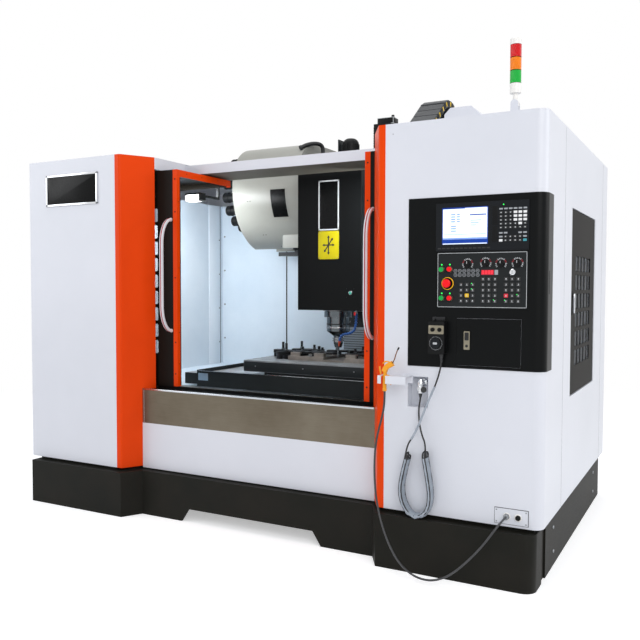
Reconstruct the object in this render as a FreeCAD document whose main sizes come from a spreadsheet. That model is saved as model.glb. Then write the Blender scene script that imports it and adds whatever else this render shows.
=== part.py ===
"""Vertical machining centre with sliding doors: the parametric solid model.

The machine stands on the floor. While it is drawn, X runs to the right from its left side,
Y runs back from the front plane of the white cabinets, and Z runs up from the floor. Each
finished piece is then moved so that the origin is the middle of the footprint.
"""
import FreeCAD
import Part
import Sketcher
import math
import os

from FreeCAD import Placement, Rotation, Vector

os.makedirs("parts", exist_ok=True)
doc = FreeCAD.newDocument("machining_centre")

# ----------------------------------------------------------------------------------------
# Driving dimensions, in millimetres and degrees
# ----------------------------------------------------------------------------------------
DIMENSIONS = {
    "enclosure": {
        "overall_width": 3223, "overall_depth": 1877, "cabinet_top": 2147, "cabinet_bottom": 279,
        "sheet": 3, "corner_radius": 48, "left_front_end": 718,
        "trim_front_width": 37, "trim_slant_width": 105, "trim_depth": 190, "trim_gap": 0.4, "fascia_height": 71,
        "beam_front": 490, "beam_height": 60, "roof_back": 800, "roof_drop": 62,
        "hood_width": 240, "hood_height": 353, "hood_slope": 66,
        "hood_front": 1250, "hood_back": 1500,
    },
    "base": {
        "base_height": 263, "base_front": 47.5, "base_left": 44, "base_round": 60,
        "bumper_depth": 110, "bumper_gap": 80, "bumper_step": 9,
        "base_back": 1850, "base_wall": 12, "side_base_width": 745, "base_slant": 66,
        "middle_base_setback": 67, "foot_width": 296, "notch_height": 76, "notch_slope": 51,
        "plinth_bar": 60, "plinth_setback": 16,
    },
    "sill": {
        "apron_setback": 115, "apron_bottom": 270, "apron_top": 543, "sill_top": 746,
        "sill_lip": 6, "sill_lip_depth": 6, "sill_back": 390, "sill_skirt_bottom": 640,
        "rail_height": 18, "rail_width": 8, "flange": 80,
    },
    "doors": {
        "door_front": 205, "door_depth": 33, "door_top": 2067, "door_beam_height": 41,
        "door_roof_back": 760, "left_door_edge_end": 1018, "door_edge_width": 31,
        "door_width": 800, "right_door_shift": 102, "doors_meet": 1585,
        "window_size": 80, "window_pitch": 100, "window_corner": 7, "window_bottom": 960,
        "window_columns": 5, "window_rows": 9, "window_margin": 118, "glass_thickness": 6,
        "handle_offset": 15, "handle_bottom": 1090, "handle_top": 1780, "handle_reach": 98,
        "handle_width": 24, "handle_thickness": 16, "handle_foot": 60,
    },
    "work_area": {
        "spindle_x": 1706, "liner_left": 346, "liner_front": 290, "liner_top": 2010,
        "liner_back": 1605, "pan_high": 760, "pan_low": 640,
        "pan_throat": 600, "pan_slope_width": 425,
        "head_slot_half": 238,
    },
    "structure": {
        "bed_half_width": 400, "bed_front": 440, "bed_top": 620, "column_half_width": 265,
        "column_front": 1610, "column_back_gap": 7, "column_top": 2350, "column_plate": 20,
        "way_cover_bottom": 700, "way_cover_top": 1190, "way_cover_half": 212,
        "way_cover_depth": 22, "way_cover_slats": 7, "lift_motor_size": 130,
        "lift_motor_height": 200, "lift_motor_cap": 45,
    },
    "saddle_and_table": {
        "saddle_half_width": 450, "saddle_front": 800, "saddle_back": 1340, "tray_half_width": 925,
        "tray_front": 700, "tray_back": 1380, "tray_bottom": 690, "tray_top": 800,
        "tray_rim": 6, "tray_depth": 20, "table_half_width": 600, "table_front": 780, "table_depth": 600,
        "table_bottom": 808, "table_top": 883, "slot_count": 5, "slot_pitch": 100,
        "slot_width": 18, "slot_depth": 20, "slot_base_width": 30, "slot_base_depth": 12,
        "clamp_width": 70, "clamp_depth": 40, "clamp_height": 24, "fixture_thickness": 28,
        "fixture_half_width": 340, "fixture_depth": 320,
    },
    "head": {
        "cover_half_width": 225, "cover_front": 850, "cover_bottom": 1219, "cover_top": 2140,
        "cover_wall": 4, "spindle_y": 987, "motor_left": 70, "motor_right": 72,
        "motor_front": 1000, "motor_depth": 200, "motor_top": 2350, "motor_fins": 8,
        "flange_radius": 92, "flange_drop": 44, "nose_radius": 75, "nose_bottom": 1082,
        "nose_taper": 32, "holder_radius": 31, "holder_bottom": 975, "holder_neck": 22,
        "tool_radius": 8, "tool_tip": 915, "plate_half_width": 73, "plate_thickness": 3,
        "upper_plate_bottom": 1724, "upper_plate_top": 2038, "lower_plate_bottom": 1543,
        "lower_plate_top": 1720,
    },
    "work_lamp": {
        "lamp_left": 800, "lamp_length": 120, "lamp_front": 560, "lamp_depth": 60,
        "lamp_bottom": 1930, "lamp_height": 45, "lamp_bar": 15, "lamp_bar_left": 900,
        "lamp_bar_setback": 40, "lamp_bar_rise": 20, "lamp_roof_edge": 20,
    },
    "changer": {
        "magazine_left": 860, "magazine_right": 1388, "magazine_front": 1010,
        "magazine_bottom": 1640, "magazine_top": 2359, "magazine_back": 1602,
        "lower_radius": 430, "upper_radius": 260, "magazine_wall": 4, "drum_y": 1306,
        "drum_z": 2049, "pot_circle": 245, "pot_radius": 34, "pot_length": 105,
        "pot_count": 16, "pot_left": 758, "drum_plate": 18, "drum_shaft": 40, "drum_clearance": 16,
        "gearbox_half": 85, "gearbox_y": 1230, "gearbox_x": 1275, "gearbox_height": 150,
        "arm_reach": 128, "arm_width": 74, "arm_thickness": 28, "arm_drop": 26,
        "arm_shaft": 34, "jaw_radius": 26,
    },
    "cable_chain": {
        "chain_left": 2086, "chain_width": 168, "chain_y": 1575, "chain_radius": 230,
        "chain_band": 52, "chain_centre_z": 2400,
    },
    "control": {
        "panel_bottom": 989, "panel_top": 1783, "panel_proud": 3,
        "panel_wrap": 139, "display_bottom": 1531,
        "display_top": 1752, "display_proud": 6,
        "screen_bottom": 1560, "screen_top": 1738, "screen_recess": 2, "frame_bottom": 1264,
        "frame_rim": 5, "frame_proud": 2,
        "door_bottom": 1004, "door_top_edge": 1220, "cover_proud": 3, "cover_gap": 1.5,
        "latch_bottom": 1076, "latch_height": 87, "latch_width": 30,
        "button_radius": 11, "button_length": 12, "button_travel": 4, "bezel": 3, "collar_length": 7,
        "stop_radius": 20, "stop_collar": 26, "stop_z": 1382,
        "knob_radius": 14, "knob_length": 17, "knob_skirt": 19, "key_z": 1433,
        "key_barrel": 10, "key_length": 26, "key_bow_half": 1.2, "running_gap": 0.1,
        "cap_width": 20, "cap_height": 18, "cap_pitch": 27.5, "cap_row_pitch": 25,
        "caps_above_frame": 38, "cap_columns": 3, "feed_caps_left": 122, "feed_cap_rows": 4,
        "axis_caps_left": 225, "axis_cap_rows": 5, "mode_caps_left": 330, "mode_cap_rows": 5,
        "card_slot_offset": 10, "keypad_slot_offset": 46, "display_slot": 3,
    },
    "hand_unit": {
        "unit_bottom": 1053, "unit_top": 1205,
        "unit_depth": 42, "unit_round": 8, "dial_radius": 27, "dial_length": 14,
        "dial_z": 1104, "selector_z": 1167, "selector_radius": 10, "selector_length": 12,
    },
    "hook": {
        "hook_top": 944, "hook_back": 905,
        "hook_reach": 100, "hook_lip": 38, "hook_hole": 10, "hook_slot": 22, "hook_slot_depth": 40,
    },
    "air_gun": {
        "gun_setback": 22, "grip_bottom": 868, "grip_radius": 9, "gun_collar_radius": 16,
        "gun_collar_height": 22, "gun_body_left": 14, "gun_body_right": 40,
        "gun_body_half": 12, "gun_body_low": 20, "gun_body_high": 50, "gun_lug_left": 32,
        "gun_lug_inner": 12, "gun_lug_low": 44, "gun_lug_high": 52, "gun_lug_half": 7,
        "nozzle_offset": 34, "nozzle_radius": 4, "nozzle_length": 92, "trigger_left": 30,
        "trigger_thickness": 8, "trigger_low": 4, "trigger_gap": 0.6,
    },
    "recess": {
        "recess_bottom": 791, "recess_top": 938, "recess_depth": 60, "plug_z": 905, "plug_radius": 15,
        "plug_bottom": 856, "plug_top": 925, "plug_y": 8,
    },
    "port": {
        "port_bottom": 292, "port_top": 361, "port_proud": 4, "port_radius": 11, "port_z": 327,
        "port_collar": 26,
    },
    "tower": {
        "tower_y": 80, "tower_foot_radius": 26, "tower_hinge_z": 2195,
        "tower_disc": 17, "tower_disc_width": 25, "tower_pole": 11, "tower_base": 2241,
        "lens_bottom": 2288, "lens_height": 58, "lens_radius": 25.5, "tower_top": 2488,
    },
    "side_door": {
        "side_front": 630, "side_back": 1390, "side_bottom": 808, "side_top": 1768,
        "side_gap": 4, "side_stop": 16, "side_depth": 38, "side_recess": 4, "side_columns": 5, "side_rows": 7,
        "side_window_front": 765, "side_window_bottom": 953, "lock_y": 680, "lock_z": 1285,
        "lock_height": 125, "lock_width": 34, "lock_proud": 14, "lock_plate": 3,
    },
    # What stands by the right side: each place is measured in from that side.
    "insets_from_the_right_side": {
        "base_right_inset": 23, "right_front_start_inset": 765, "hood_right_inset": 661,
        "liner_right_inset": 157, "panel_left_inset": 642, "display_left_inset": 503,
        "display_right_inset": 73, "screen_left_inset": 475, "screen_right_inset": 254,
        "door_left_inset": 399, "door_right_inset": 104, "latch_x_inset": 350,
        "stop_x_inset": 446, "key_x_inset": 145, "unit_left_inset": 526,
        "unit_right_inset": 446, "hook_left_inset": 758, "hook_right_inset": 615,
        "hook_hole_x_inset": 645, "hook_slot_x_inset": 729, "recess_left_inset": 642,
        "recess_right_inset": 539, "plug_x_inset": 580, "port_left_inset": 212,
        "port_right_inset": 62, "port_hose_x_inset": 157, "port_blank_x_inset": 105,
        "tower_x_inset": 163,
    },
}


class Size:
    """A length with the expression that ties it to the sheet."""

    def __init__(self, value, text):
        self.value = float(value)
        self.text = text

    @staticmethod
    def of(other):
        """Return a number or a size as a size."""
        if isinstance(other, Size):
            return other
        return Size(other, "(%.6f)" % other)

    def joined(self, sign, other, value):
        return Size(value, "(%s %s %s)" % (self.text, sign, other.text))

    def __add__(self, other):
        other = Size.of(other)
        return self.joined("+", other, self.value + other.value)

    def __sub__(self, other):
        other = Size.of(other)
        return self.joined("-", other, self.value - other.value)

    def __mul__(self, other):
        other = Size.of(other)
        return self.joined("*", other, self.value * other.value)

    def __truediv__(self, other):
        other = Size.of(other)
        return self.joined("/", other, self.value / other.value)

    def __radd__(self, other):
        return Size.of(other) + self

    def __rsub__(self, other):
        return Size.of(other) - self

    def __rmul__(self, other):
        return Size.of(other) * self

    def __neg__(self):
        return Size(-self.value, "(0 - %s)" % self.text)

    def __float__(self):
        return self.value


class SizeSheet:
    """The spreadsheet of driving dimensions; each alias reads back as a Size."""

    def __init__(self, groups):
        sheet = doc.addObject("Spreadsheet::Sheet", "Sizes")
        self.names = {}
        row = 0
        for group, sizes in groups.items():
            row += 1
            sheet.set("A%d" % row, group)
            for name, value in sizes.items():
                row += 1
                sheet.set("A%d" % row, name)
                sheet.set("B%d" % row, str(value))
                sheet.setAlias("B%d" % row, name)
                self.names[name] = Size(value, "Sizes." + name)
        doc.recompute()

    def __getattr__(self, name):
        """Read a size; a place that has an inset is that far in from the right side."""
        if name + "_inset" in self.names:
            return self.names["overall_width"] - self.names[name + "_inset"]
        return self.names[name]


S = SizeSheet(DIMENSIONS)
ZERO = Size(0, "0")
ORIGIN_X = S.overall_width / 2
ORIGIN_Y = (S.overall_depth - S.hook_reach) / 2

# ----------------------------------------------------------------------------------------
# Forms
# ----------------------------------------------------------------------------------------
TURN = {
    "+X": Rotation(Vector(0, 1, 0), 90),
    "-X": Rotation(Vector(0, 1, 0), -90),
    "+Y": Rotation(Vector(1, 0, 0), -90),
    "-Y": Rotation(Vector(1, 0, 0), 90),
    "+Z": Rotation(),
    "-Z": Rotation(Vector(1, 0, 0), 180),
}
HOME = {}
PIECES = {}


def bind(item, **sizes):
    """Tie properties of an object to the sheet."""
    for name, size in sizes.items():
        item.setExpression(name, Size.of(size).text)


def stand(item, where, direction="+Z"):
    """Place an object at a point of the machine, with its own Z along a direction."""
    where = [Size.of(value) for value in where]
    HOME[item.Name] = where
    item.Placement = Placement(Vector(*map(float, where)), TURN[direction])
    for axis, size in zip("xyz", where):
        item.setExpression("Placement.Base." + axis, size.text)
    return item


def box(name, x, y, z):
    """A block between two values on each axis."""
    block = doc.addObject("Part::Box", name)
    spans = [Size.of(end) - Size.of(start) for start, end in (x, y, z)]
    bind(block, Length=spans[0], Width=spans[1], Height=spans[2])
    return stand(block, (x[0], y[0], z[0]))


def rod(name, where, direction, radius, length):
    """A cylinder from a point, along a direction."""
    cylinder = doc.addObject("Part::Cylinder", name)
    bind(cylinder, Radius=radius, Height=length)
    return stand(cylinder, where, direction)


def fuse(name, *parts):
    """Several overlapping or touching forms made one."""
    union = doc.addObject("Part::MultiFuse", name)
    union.Shapes = list(parts)
    union.Refine = True
    return union


def cut(name, base, *tools):
    """A form with others taken out of it."""
    difference = doc.addObject("Part::Cut", name)
    difference.Base = base
    difference.Tool = tools[0] if len(tools) == 1 else fuse(name + "_tools", *tools)
    difference.Refine = True
    return difference


def common(name, first, second):
    """What two forms share."""
    overlap = doc.addObject("Part::Common", name)
    overlap.Base = first
    overlap.Tool = second
    return overlap


def mirrored(name, source, plane_x, shift_x):
    """The mirror image of a finished piece about an upright plane across X, moved along X."""
    image = doc.addObject("Part::Mirroring", name)
    image.Source = source
    image.Normal = Vector(1, 0, 0)
    image.setExpression("Base.x", (plane_x - ORIGIN_X).text)
    return stand(image, (shift_x + ORIGIN_X, ORIGIN_Y, ZERO))


def sketch_on(body, name, plane, height):
    """A sketch on one of a body's origin planes, raised along the plane's normal."""
    sketch = body.newObject("Sketcher::SketchObject", name)
    origin_plane = [f for f in body.Origin.OriginFeatures if f.Role == plane + "_Plane"][0]
    sketch.AttachmentSupport = [(origin_plane, "")]
    sketch.MapMode = "FlatFace"
    sketch.setExpression("AttachmentOffset.Base.z", Size.of(height).text)
    return sketch


def draw_outline(sketch, points):
    """Add a closed outline of straight lines, each corner held by two dimensions."""
    points = [(Size.of(u), Size.of(v)) for u, v in points]
    corners = [Vector(float(u), float(v), 0) for u, v in points]
    first = sketch.GeometryCount
    count = len(points)
    lines = [Part.LineSegment(corners[i], corners[(i + 1) % count]) for i in range(count)]
    sketch.addGeometry(lines, False)
    held = sketch.ConstraintCount
    rules = []
    for i in range(count):
        rules.append(Sketcher.Constraint("Coincident", first + i, 2, first + (i + 1) % count, 1))
    for i in range(count):
        rules.append(Sketcher.Constraint("DistanceX", -1, 1, first + i, 1, corners[i].x))
        rules.append(Sketcher.Constraint("DistanceY", -1, 1, first + i, 1, corners[i].y))
    sketch.addConstraint(rules)
    for i, (u, v) in enumerate(points):
        sketch.setExpression("Constraints[%d]" % (held + count + 2 * i), u.text)
        sketch.setExpression("Constraints[%d]" % (held + count + 2 * i + 1), v.text)


def prism(name, plane, points, start, end):
    """A straight body with an outline in XY, XZ or YZ, between two values of the third axis."""
    body = doc.addObject("PartDesign::Body", name)
    start = Size.of(start)
    end = Size.of(end)
    height = -end if plane == "XZ" else start
    sketch = sketch_on(body, name + "_outline", plane, height)
    draw_outline(sketch, points)
    pad = body.newObject("PartDesign::Pad", name + "_pad")
    pad.Profile = sketch
    bind(pad, Length=end - start)
    body.Tip = pad
    return body


def pocket(body, name, plane, points, start, depth):
    """Cut an outline into a body, from a plane towards more Y or less X or Z."""
    height = -Size.of(start) if plane == "XZ" else Size.of(start)
    sketch = sketch_on(body, name + "_outline", plane, height)
    draw_outline(sketch, points)
    hollow = body.newObject("PartDesign::Pocket", name)
    hollow.Profile = sketch
    bind(hollow, Length=depth)
    body.Tip = hollow
    return hollow


def repeat(body, feature, rows):
    """Repeat a feature along one or two axes: rows holds (axis, backwards, pitch, count)."""
    pattern = body.newObject("PartDesign::LinearPattern", feature.Name + "_pattern")
    pattern.Originals = [feature]
    for suffix, (axis, backwards, pitch, count) in zip(("", "2"), rows):
        line = [f for f in body.Origin.OriginFeatures if f.Role == axis + "_Axis"][0]
        setattr(pattern, "Direction" + suffix, (line, [""]))
        setattr(pattern, "Reversed" + suffix, backwards)
        setattr(pattern, "Mode" + suffix, "Spacing")
        bind(pattern, **{"Offset" + suffix: pitch, "Occurrences" + suffix: count})
    body.Tip = pattern
    return pattern


def round_edges(body, name, radius, chosen):
    """Round the straight edges of a body's last feature whose middle point is chosen."""
    doc.recompute()
    base = body.Tip
    names = []
    for number, edge in enumerate(base.Shape.Edges, 1):
        middle = edge.valueAt((edge.FirstParameter + edge.LastParameter) / 2)
        if chosen(middle, edge):
            names.append("Edge%d" % number)
    fillet = body.newObject("PartDesign::Fillet", name)
    fillet.Base = (base, names)
    bind(fillet, Radius=radius)
    body.Tip = fillet
    return body


def turned(name, where, direction, profile):
    """A turned body: its profile is (radius, height) pairs, closed along the axis."""
    body = doc.addObject("PartDesign::Body", name)
    sketch = sketch_on(body, name + "_profile", "XZ", ZERO)
    draw_outline(sketch, [(ZERO, profile[0][1])] + list(profile) + [(ZERO, profile[-1][1])])
    spin = body.newObject("PartDesign::Revolution", name + "_turn")
    spin.Profile = sketch
    spin.ReferenceAxis = (sketch, ["V_Axis"])
    spin.Angle = 360
    body.Tip = spin
    return stand(body, where, direction)


def piece(label, item):
    """Name a finished piece and move it from the machine's corner to the model's origin."""
    home = HOME.get(item.Name, [ZERO, ZERO, ZERO])
    for axis, size, shift in zip("xyz", home, (ORIGIN_X, ORIGIN_Y, ZERO)):
        item.setExpression("Placement.Base." + axis, (size - shift).text)
    item.Label = label
    PIECES[label] = item
    return item


def rectangle(u, v):
    """The corners of a rectangle."""
    return [(u[0], v[0]), (u[1], v[0]), (u[1], v[1]), (u[0], v[1])]


def clipped_square(u, v, size, corner):
    """A square with its corners cut at 45 degrees, from its lower left point."""
    far_u = u + size
    far_v = v + size
    return [
        (u + corner, v), (far_u - corner, v), (far_u, v + corner), (far_u, far_v - corner),
        (far_u - corner, far_v), (u + corner, far_v), (u, far_v - corner), (u, v + corner),
    ]


def upright(middle, edge):
    """True for an edge along Z."""
    return abs(edge.tangentAt(edge.FirstParameter).z) > 0.999


# ----------------------------------------------------------------------------------------
# Base and enclosure
# ----------------------------------------------------------------------------------------
def make_base():
    """The dark base skirt: a walled ring with a raised middle foot and a plinth on top."""
    front = -S.base_front
    slant_left = S.base_left + S.side_base_width
    middle_left = slant_left + S.base_slant
    slant_right = S.overall_width - slant_left
    middle_right = slant_right - S.base_slant
    outline = [
        (S.base_left, front), (slant_left, front), (middle_left, S.middle_base_setback),
        (middle_right, S.middle_base_setback), (slant_right, front), (S.base_right, front),
        (S.base_right, S.base_back), (S.base_left, S.base_back),
    ]
    block = prism("base_block", "XY", outline, ZERO, S.base_height)
    round_edges(
        block, "base_corner", S.base_round,
        lambda p, e: upright(p, e) and abs(p.x - float(S.base_right)) < 1 and p.y < 0,
    )
    wall = S.base_wall
    inside = prism("base_inside", "XY", [
        (S.base_left + wall, front + wall), (slant_left - wall, front + wall),
        (middle_left - wall, S.middle_base_setback + wall),
        (middle_right + wall, S.middle_base_setback + wall),
        (slant_right + wall, front + wall), (S.base_right - wall, front + wall),
        (S.base_right - wall, S.base_back - wall), (S.base_left + wall, S.base_back - wall),
    ], -wall, S.base_height - S.base_wall)
    round_edges(
        inside, "base_hollow_corner", S.base_round - wall,
        lambda p, e: upright(p, e) and abs(p.x - float(S.base_right - wall)) < 1 and p.y < 0,
    )
    bumper_gap = box("base_bumper_gap", (S.base_right - S.bumper_step, S.base_right + wall),
                     (S.bumper_depth, S.bumper_depth + S.bumper_gap),
                     (-wall, S.base_height + wall))
    notch_left = middle_left + S.foot_width
    notch_right = middle_right - S.foot_width
    notch = prism("base_notch", "XZ", [
        (notch_left, -wall), (notch_right, -wall), (notch_right, ZERO),
        (notch_right - S.notch_slope, S.notch_height),
        (notch_left + S.notch_slope, S.notch_height), (notch_left, ZERO),
    ], S.middle_base_setback - wall, S.middle_base_setback + wall * 2)
    bed_hole = box(
        "base_bed_hole",
        (S.spindle_x - S.bed_half_width - wall, S.spindle_x + S.bed_half_width + wall),
        (S.bed_front - wall, S.overall_depth - S.column_back_gap + wall),
        (-wall, S.base_height + wall),
    )
    top = S.cabinet_bottom
    bar = S.plinth_bar
    inset = S.plinth_setback
    bars = [
        box("plinth_left", (S.base_left + inset, S.base_left + inset + bar), (inset, S.base_back - inset),
            (S.base_height, top)),
        box("plinth_right", (S.base_right - inset - bar, S.base_right - inset),
            (inset, S.base_back - inset), (S.base_height, top)),
        box("plinth_front_left", (S.base_left + inset, S.left_front_end - inset), (inset, inset + bar),
            (S.base_height, top)),
        box("plinth_front_right", (S.right_front_start + inset, S.base_right - inset),
            (inset, inset + bar), (S.base_height, top)),
        box("plinth_middle", (middle_left + inset, middle_right - inset),
            (S.apron_setback + inset, S.apron_setback + inset + bar), (S.base_height, top)),
    ]
    ring = cut("base_ring", block, inside, notch, bed_hole, bumper_gap)
    piece("base_skirt", fuse("base_skirt_body", ring, *bars))


def make_cabinets():
    """The two white sheet cabinets: front, side, half of the back, floor, roof and fascia."""
    t = S.sheet
    back = S.overall_depth
    half = S.spindle_x
    for side in ("left", "right"):
        left = side == "left"
        outer = ZERO if left else S.overall_width
        inward = 1 if left else -1
        front_end = S.left_front_end if left else S.right_front_start
        roof_end = trim_back_x(left)
        outline = [
            (front_end, ZERO), (outer, ZERO), (outer, back), (half, back), (half, back - t),
            (outer + t * inward, back - t), (outer + t * inward, t), (front_end, t),
        ]
        shell = prism(side + "_cabinet_wall", "XY", outline, S.cabinet_bottom, S.cabinet_top)
        if not left:
            edge_x = float(S.overall_width)
            inner_x = float(S.overall_width - t)
            round_edges(
                shell, "right_outer_corner", S.corner_radius,
                lambda p, e: upright(p, e) and abs(p.x - edge_x) < 1 and abs(p.y) < 1,
            )
            round_edges(
                shell, "right_inner_corner", S.corner_radius - t,
                lambda p, e: upright(p, e) and abs(p.x - inner_x) < 1 and abs(p.y - float(t)) < 1,
            )
        floor = cabinet_plate(side + "_cabinet_floor", outer + t * inward * 0.5, front_end,
                              S.cabinet_bottom, left)
        roof = cabinet_plate(side + "_cabinet_roof", outer + t * inward * 0.5, front_end,
                             S.cabinet_top - t, left)
        shelf = box(side + "_roof_shelf", ordered(front_end, roof_end),
                    (S.trim_depth, back - t / 2), (S.cabinet_top - t, S.cabinet_top))
        fascia = box(side + "_fascia", ordered(roof_end - t * inward, roof_end),
                     (S.trim_depth, S.beam_front), (S.cabinet_top - S.fascia_height, S.cabinet_top))
        parts = [shell, floor, roof, shelf, fascia]
        if left:
            rim = S.pot_circle + S.pot_radius + S.drum_clearance
            slot = box("drum_slot", (S.pot_left - S.drum_clearance, roof_end + t),
                       (S.drum_y - rim, S.drum_y + rim), (S.cabinet_top - t * 2, S.cabinet_top + t))
            piece("left_cabinet", cut("left_cabinet_slotted", fuse("left_cabinet_body", *parts), slot))
        else:
            openings = [side_door_opening(), recess_opening()]
            body = cut("right_cabinet_cut", fuse("right_cabinet_shell", *parts), *openings)
            extra = recess_pan() + side_door_jamb() + port_plate() + tower_foot() + [roof_hood()]
            piece("right_cabinet", fuse("right_cabinet_body", body, *extra))


def cabinet_plate(name, outer, front_end, low, square):
    """A cabinet's floor or roof plate; its outer front corner follows the rounded one."""
    near = S.sheet / 2
    plate = prism(name, "XY", rectangle((outer, front_end), (near, S.overall_depth - near)),
                  low, low + S.sheet)
    if not square:
        corner_x = float(outer)
        round_edges(plate, name + "_corner", S.corner_radius - near,
                    lambda p, e: upright(p, e) and abs(p.x - corner_x) < 1 and p.y < 10)
    return plate


def roof_hood():
    """The white sheet hood with sloped shoulders on the roof at the back."""
    right = S.hood_right
    left = right - S.hood_width
    roof = S.cabinet_top
    top = roof + S.hood_height
    slope = S.hood_slope

    def form(name, inset, low):
        """The hood's outline, drawn inside by an inset."""
        points = [
            (left + inset, low), (right - inset, low), (right - inset, top - slope - inset * 0.4),
            (right - slope - inset * 0.4, top - inset), (left + slope * 0.6 + inset * 0.4, top - inset),
            (left + inset, top - slope * 0.6 - inset * 0.4),
        ]
        return prism(name, "XZ", points, S.hood_front + inset, S.hood_back - inset)

    return cut("roof_hood", form("roof_hood_outer", ZERO, roof), form("roof_hood_inner", S.sheet, roof - S.sheet))


def ordered(first, second):
    """A span with its lower end first."""
    return (first, second) if float(first) < float(second) else (second, first)


def trim_back_x(left):
    """Where the orange corner trim ends at the back."""
    if left:
        return S.left_front_end + S.trim_front_width + S.trim_slant_width
    return S.right_front_start - S.trim_front_width - S.trim_slant_width


def make_trims():
    """The orange folded trims that lead from the cabinets' fronts back to the doors."""
    t = S.sheet
    for side in ("left", "right"):
        left = side == "left"
        inward = 1 if left else -1
        start = S.left_front_end if left else S.right_front_start
        fold = start + S.trim_front_width * inward
        end = fold + S.trim_slant_width * inward
        skew = t * 1.14 * inward
        outline = [
            (start, ZERO), (fold, ZERO), (end, S.trim_depth), (end - skew, S.trim_depth),
            (fold - skew * 0.6, t), (start, t),
        ]
        trim = prism(side + "_trim_body", "XY", outline, S.cabinet_bottom, S.cabinet_top)
        fold_x = float(fold)
        round_edges(
            trim, side + "_trim_fold", S.sheet * 5,
            lambda p, e: upright(p, e) and abs(p.x - fold_x) < 0.1 and abs(p.y) < 0.1,
        )
        piece(side + "_trim", trim)


def trim_clearance(name, left):
    """The space behind a trim that the apron and the sill leave free."""
    inward = 1 if left else -1
    start = S.left_front_end if left else S.right_front_start
    fold = start + (S.trim_front_width + S.trim_gap) * inward
    end = fold + S.trim_slant_width * inward
    return prism(name, "XY", [
        (start, -S.sheet), (fold, -S.sheet), (fold, ZERO), (end, S.trim_depth),
        (end, S.apron_setback + S.flange + S.trim_gap), (start, S.apron_setback + S.flange + S.trim_gap),
    ], ZERO, S.cabinet_top)


def make_front():
    """The white apron, and the stainless sill above it with the rail that the doors run on."""
    t = S.sheet
    y = S.apron_setback
    left = S.left_front_end + S.trim_front_width
    right = S.right_front_start - S.trim_front_width
    sides = [trim_clearance("apron_side_left", True), trim_clearance("apron_side_right", False)]
    sill_sides = [trim_clearance("sill_side_left", True), trim_clearance("sill_side_right", False)]
    apron = [
        (y, S.apron_bottom), (y + t, S.apron_bottom), (y + t, S.cabinet_bottom),
        (y + S.flange, S.cabinet_bottom), (y + S.flange, S.cabinet_bottom + t),
        (y + t, S.cabinet_bottom + t), (y + t, S.apron_top - t), (y + S.flange, S.apron_top - t),
        (y + S.flange, S.apron_top), (y, S.apron_top),
    ]
    piece("front_apron", cut("front_apron_body", prism("apron_sheet", "YZ", apron, left, right),
                             *sides))
    top = S.sill_top
    lip = S.sill_lip
    sill = [
        (y, S.apron_top), (y + S.flange, S.apron_top), (y + S.flange, S.apron_top + t),
        (y + t, S.apron_top + t), (y + t, top - t), (S.sill_back - t, top - t),
        (S.sill_back - t, S.sill_skirt_bottom), (S.sill_back, S.sill_skirt_bottom),
        (S.sill_back, top), (y + S.sill_lip_depth, top), (y + S.sill_lip_depth, top + lip),
        (y, top + lip),
    ]
    band = prism("sill_band_sheet", "YZ", sill, left, right)
    rail_middle = S.door_front + S.door_depth / 2
    rail = box("door_rail", (S.left_door_edge_end - S.door_width, right_door_end()),
               (rail_middle - S.rail_width / 2, rail_middle + S.rail_width / 2),
               (top - t, top + S.rail_height))
    piece("sill_band", fuse("sill_band_body", cut("sill_sheet", band, *sill_sides), rail))


def right_door_end():
    """The far end of the right door when it stands open."""
    return S.doors_meet * 2 - S.left_door_edge_end + S.right_door_shift + S.door_width


def make_roof():
    """The folded canopy behind the doors: a white front beam and the roof sheet behind it."""
    t = S.sheet
    top = S.cabinet_top - t * 3
    under = S.cabinet_top - S.roof_drop
    y = S.beam_front
    outline = [
        (y, top - S.beam_height), (y + t, top - S.beam_height), (y + t, under),
        (S.roof_back, under), (S.roof_back, under + t), (y + t, under + t), (y + t, top), (y, top),
    ]
    piece("roof_panel", prism("roof_panel_body", "YZ", outline, trim_back_x(True), trim_back_x(False)))


def make_liner():
    """The white sheet liner of the work area, with sloping floors down to the bed."""
    t = S.sheet
    x = S.spindle_x
    left = S.liner_left
    right = S.liner_right
    low = S.cabinet_bottom + t
    walls = [
        box("liner_left", (left, left + t), (S.liner_front, S.liner_back), (low, S.liner_top)),
        box("liner_right", (right - t, right), (S.liner_front, S.liner_back), (low, S.liner_top)),
        box("liner_rear_left", (left, x - S.head_slot_half), (S.liner_back - t, S.liner_back),
            (S.bed_top, S.liner_top)),
        box("liner_rear_right", (x + S.head_slot_half, right), (S.liner_back - t, S.liner_back),
            (S.bed_top, S.liner_top)),
    ]
    walls.append(box("liner_rear_middle", (x - S.head_slot_half, x + S.head_slot_half),
                     (S.liner_back - t, S.liner_back), (S.bed_top, S.way_cover_bottom - t)))
    for name, side, wall in (("left", -1, left), ("right", 1, right)):
        edge = wall - S.pan_slope_width * side
        bed = x + S.bed_half_width * side
        slope = [
            (wall, S.pan_high), (edge, S.pan_low), (bed, S.pan_throat), (bed, S.pan_throat - t),
            (edge, S.pan_low - t), (wall, S.pan_high - t),
        ]
        walls.append(prism("pan_" + name, "XZ", slope, S.sill_back, S.liner_back))
    window = box("liner_side_window", (right - t * 2, right + t),
                 (S.side_front + S.window_pitch, S.side_back - S.window_pitch / 2),
                 (S.side_bottom + S.window_pitch, S.side_top - S.window_pitch))
    piece("work_area_liner", cut("liner_body", fuse("liner_sheets", *walls), window))


def side_door_opening():
    """The opening for the door in the right side."""
    return box("side_door_opening", (S.overall_width - S.corner_radius, S.overall_width + S.sheet),
               (S.side_front - S.side_gap, S.side_back + S.side_gap),
               (S.side_bottom - S.side_gap, S.side_top + S.side_gap))


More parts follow.
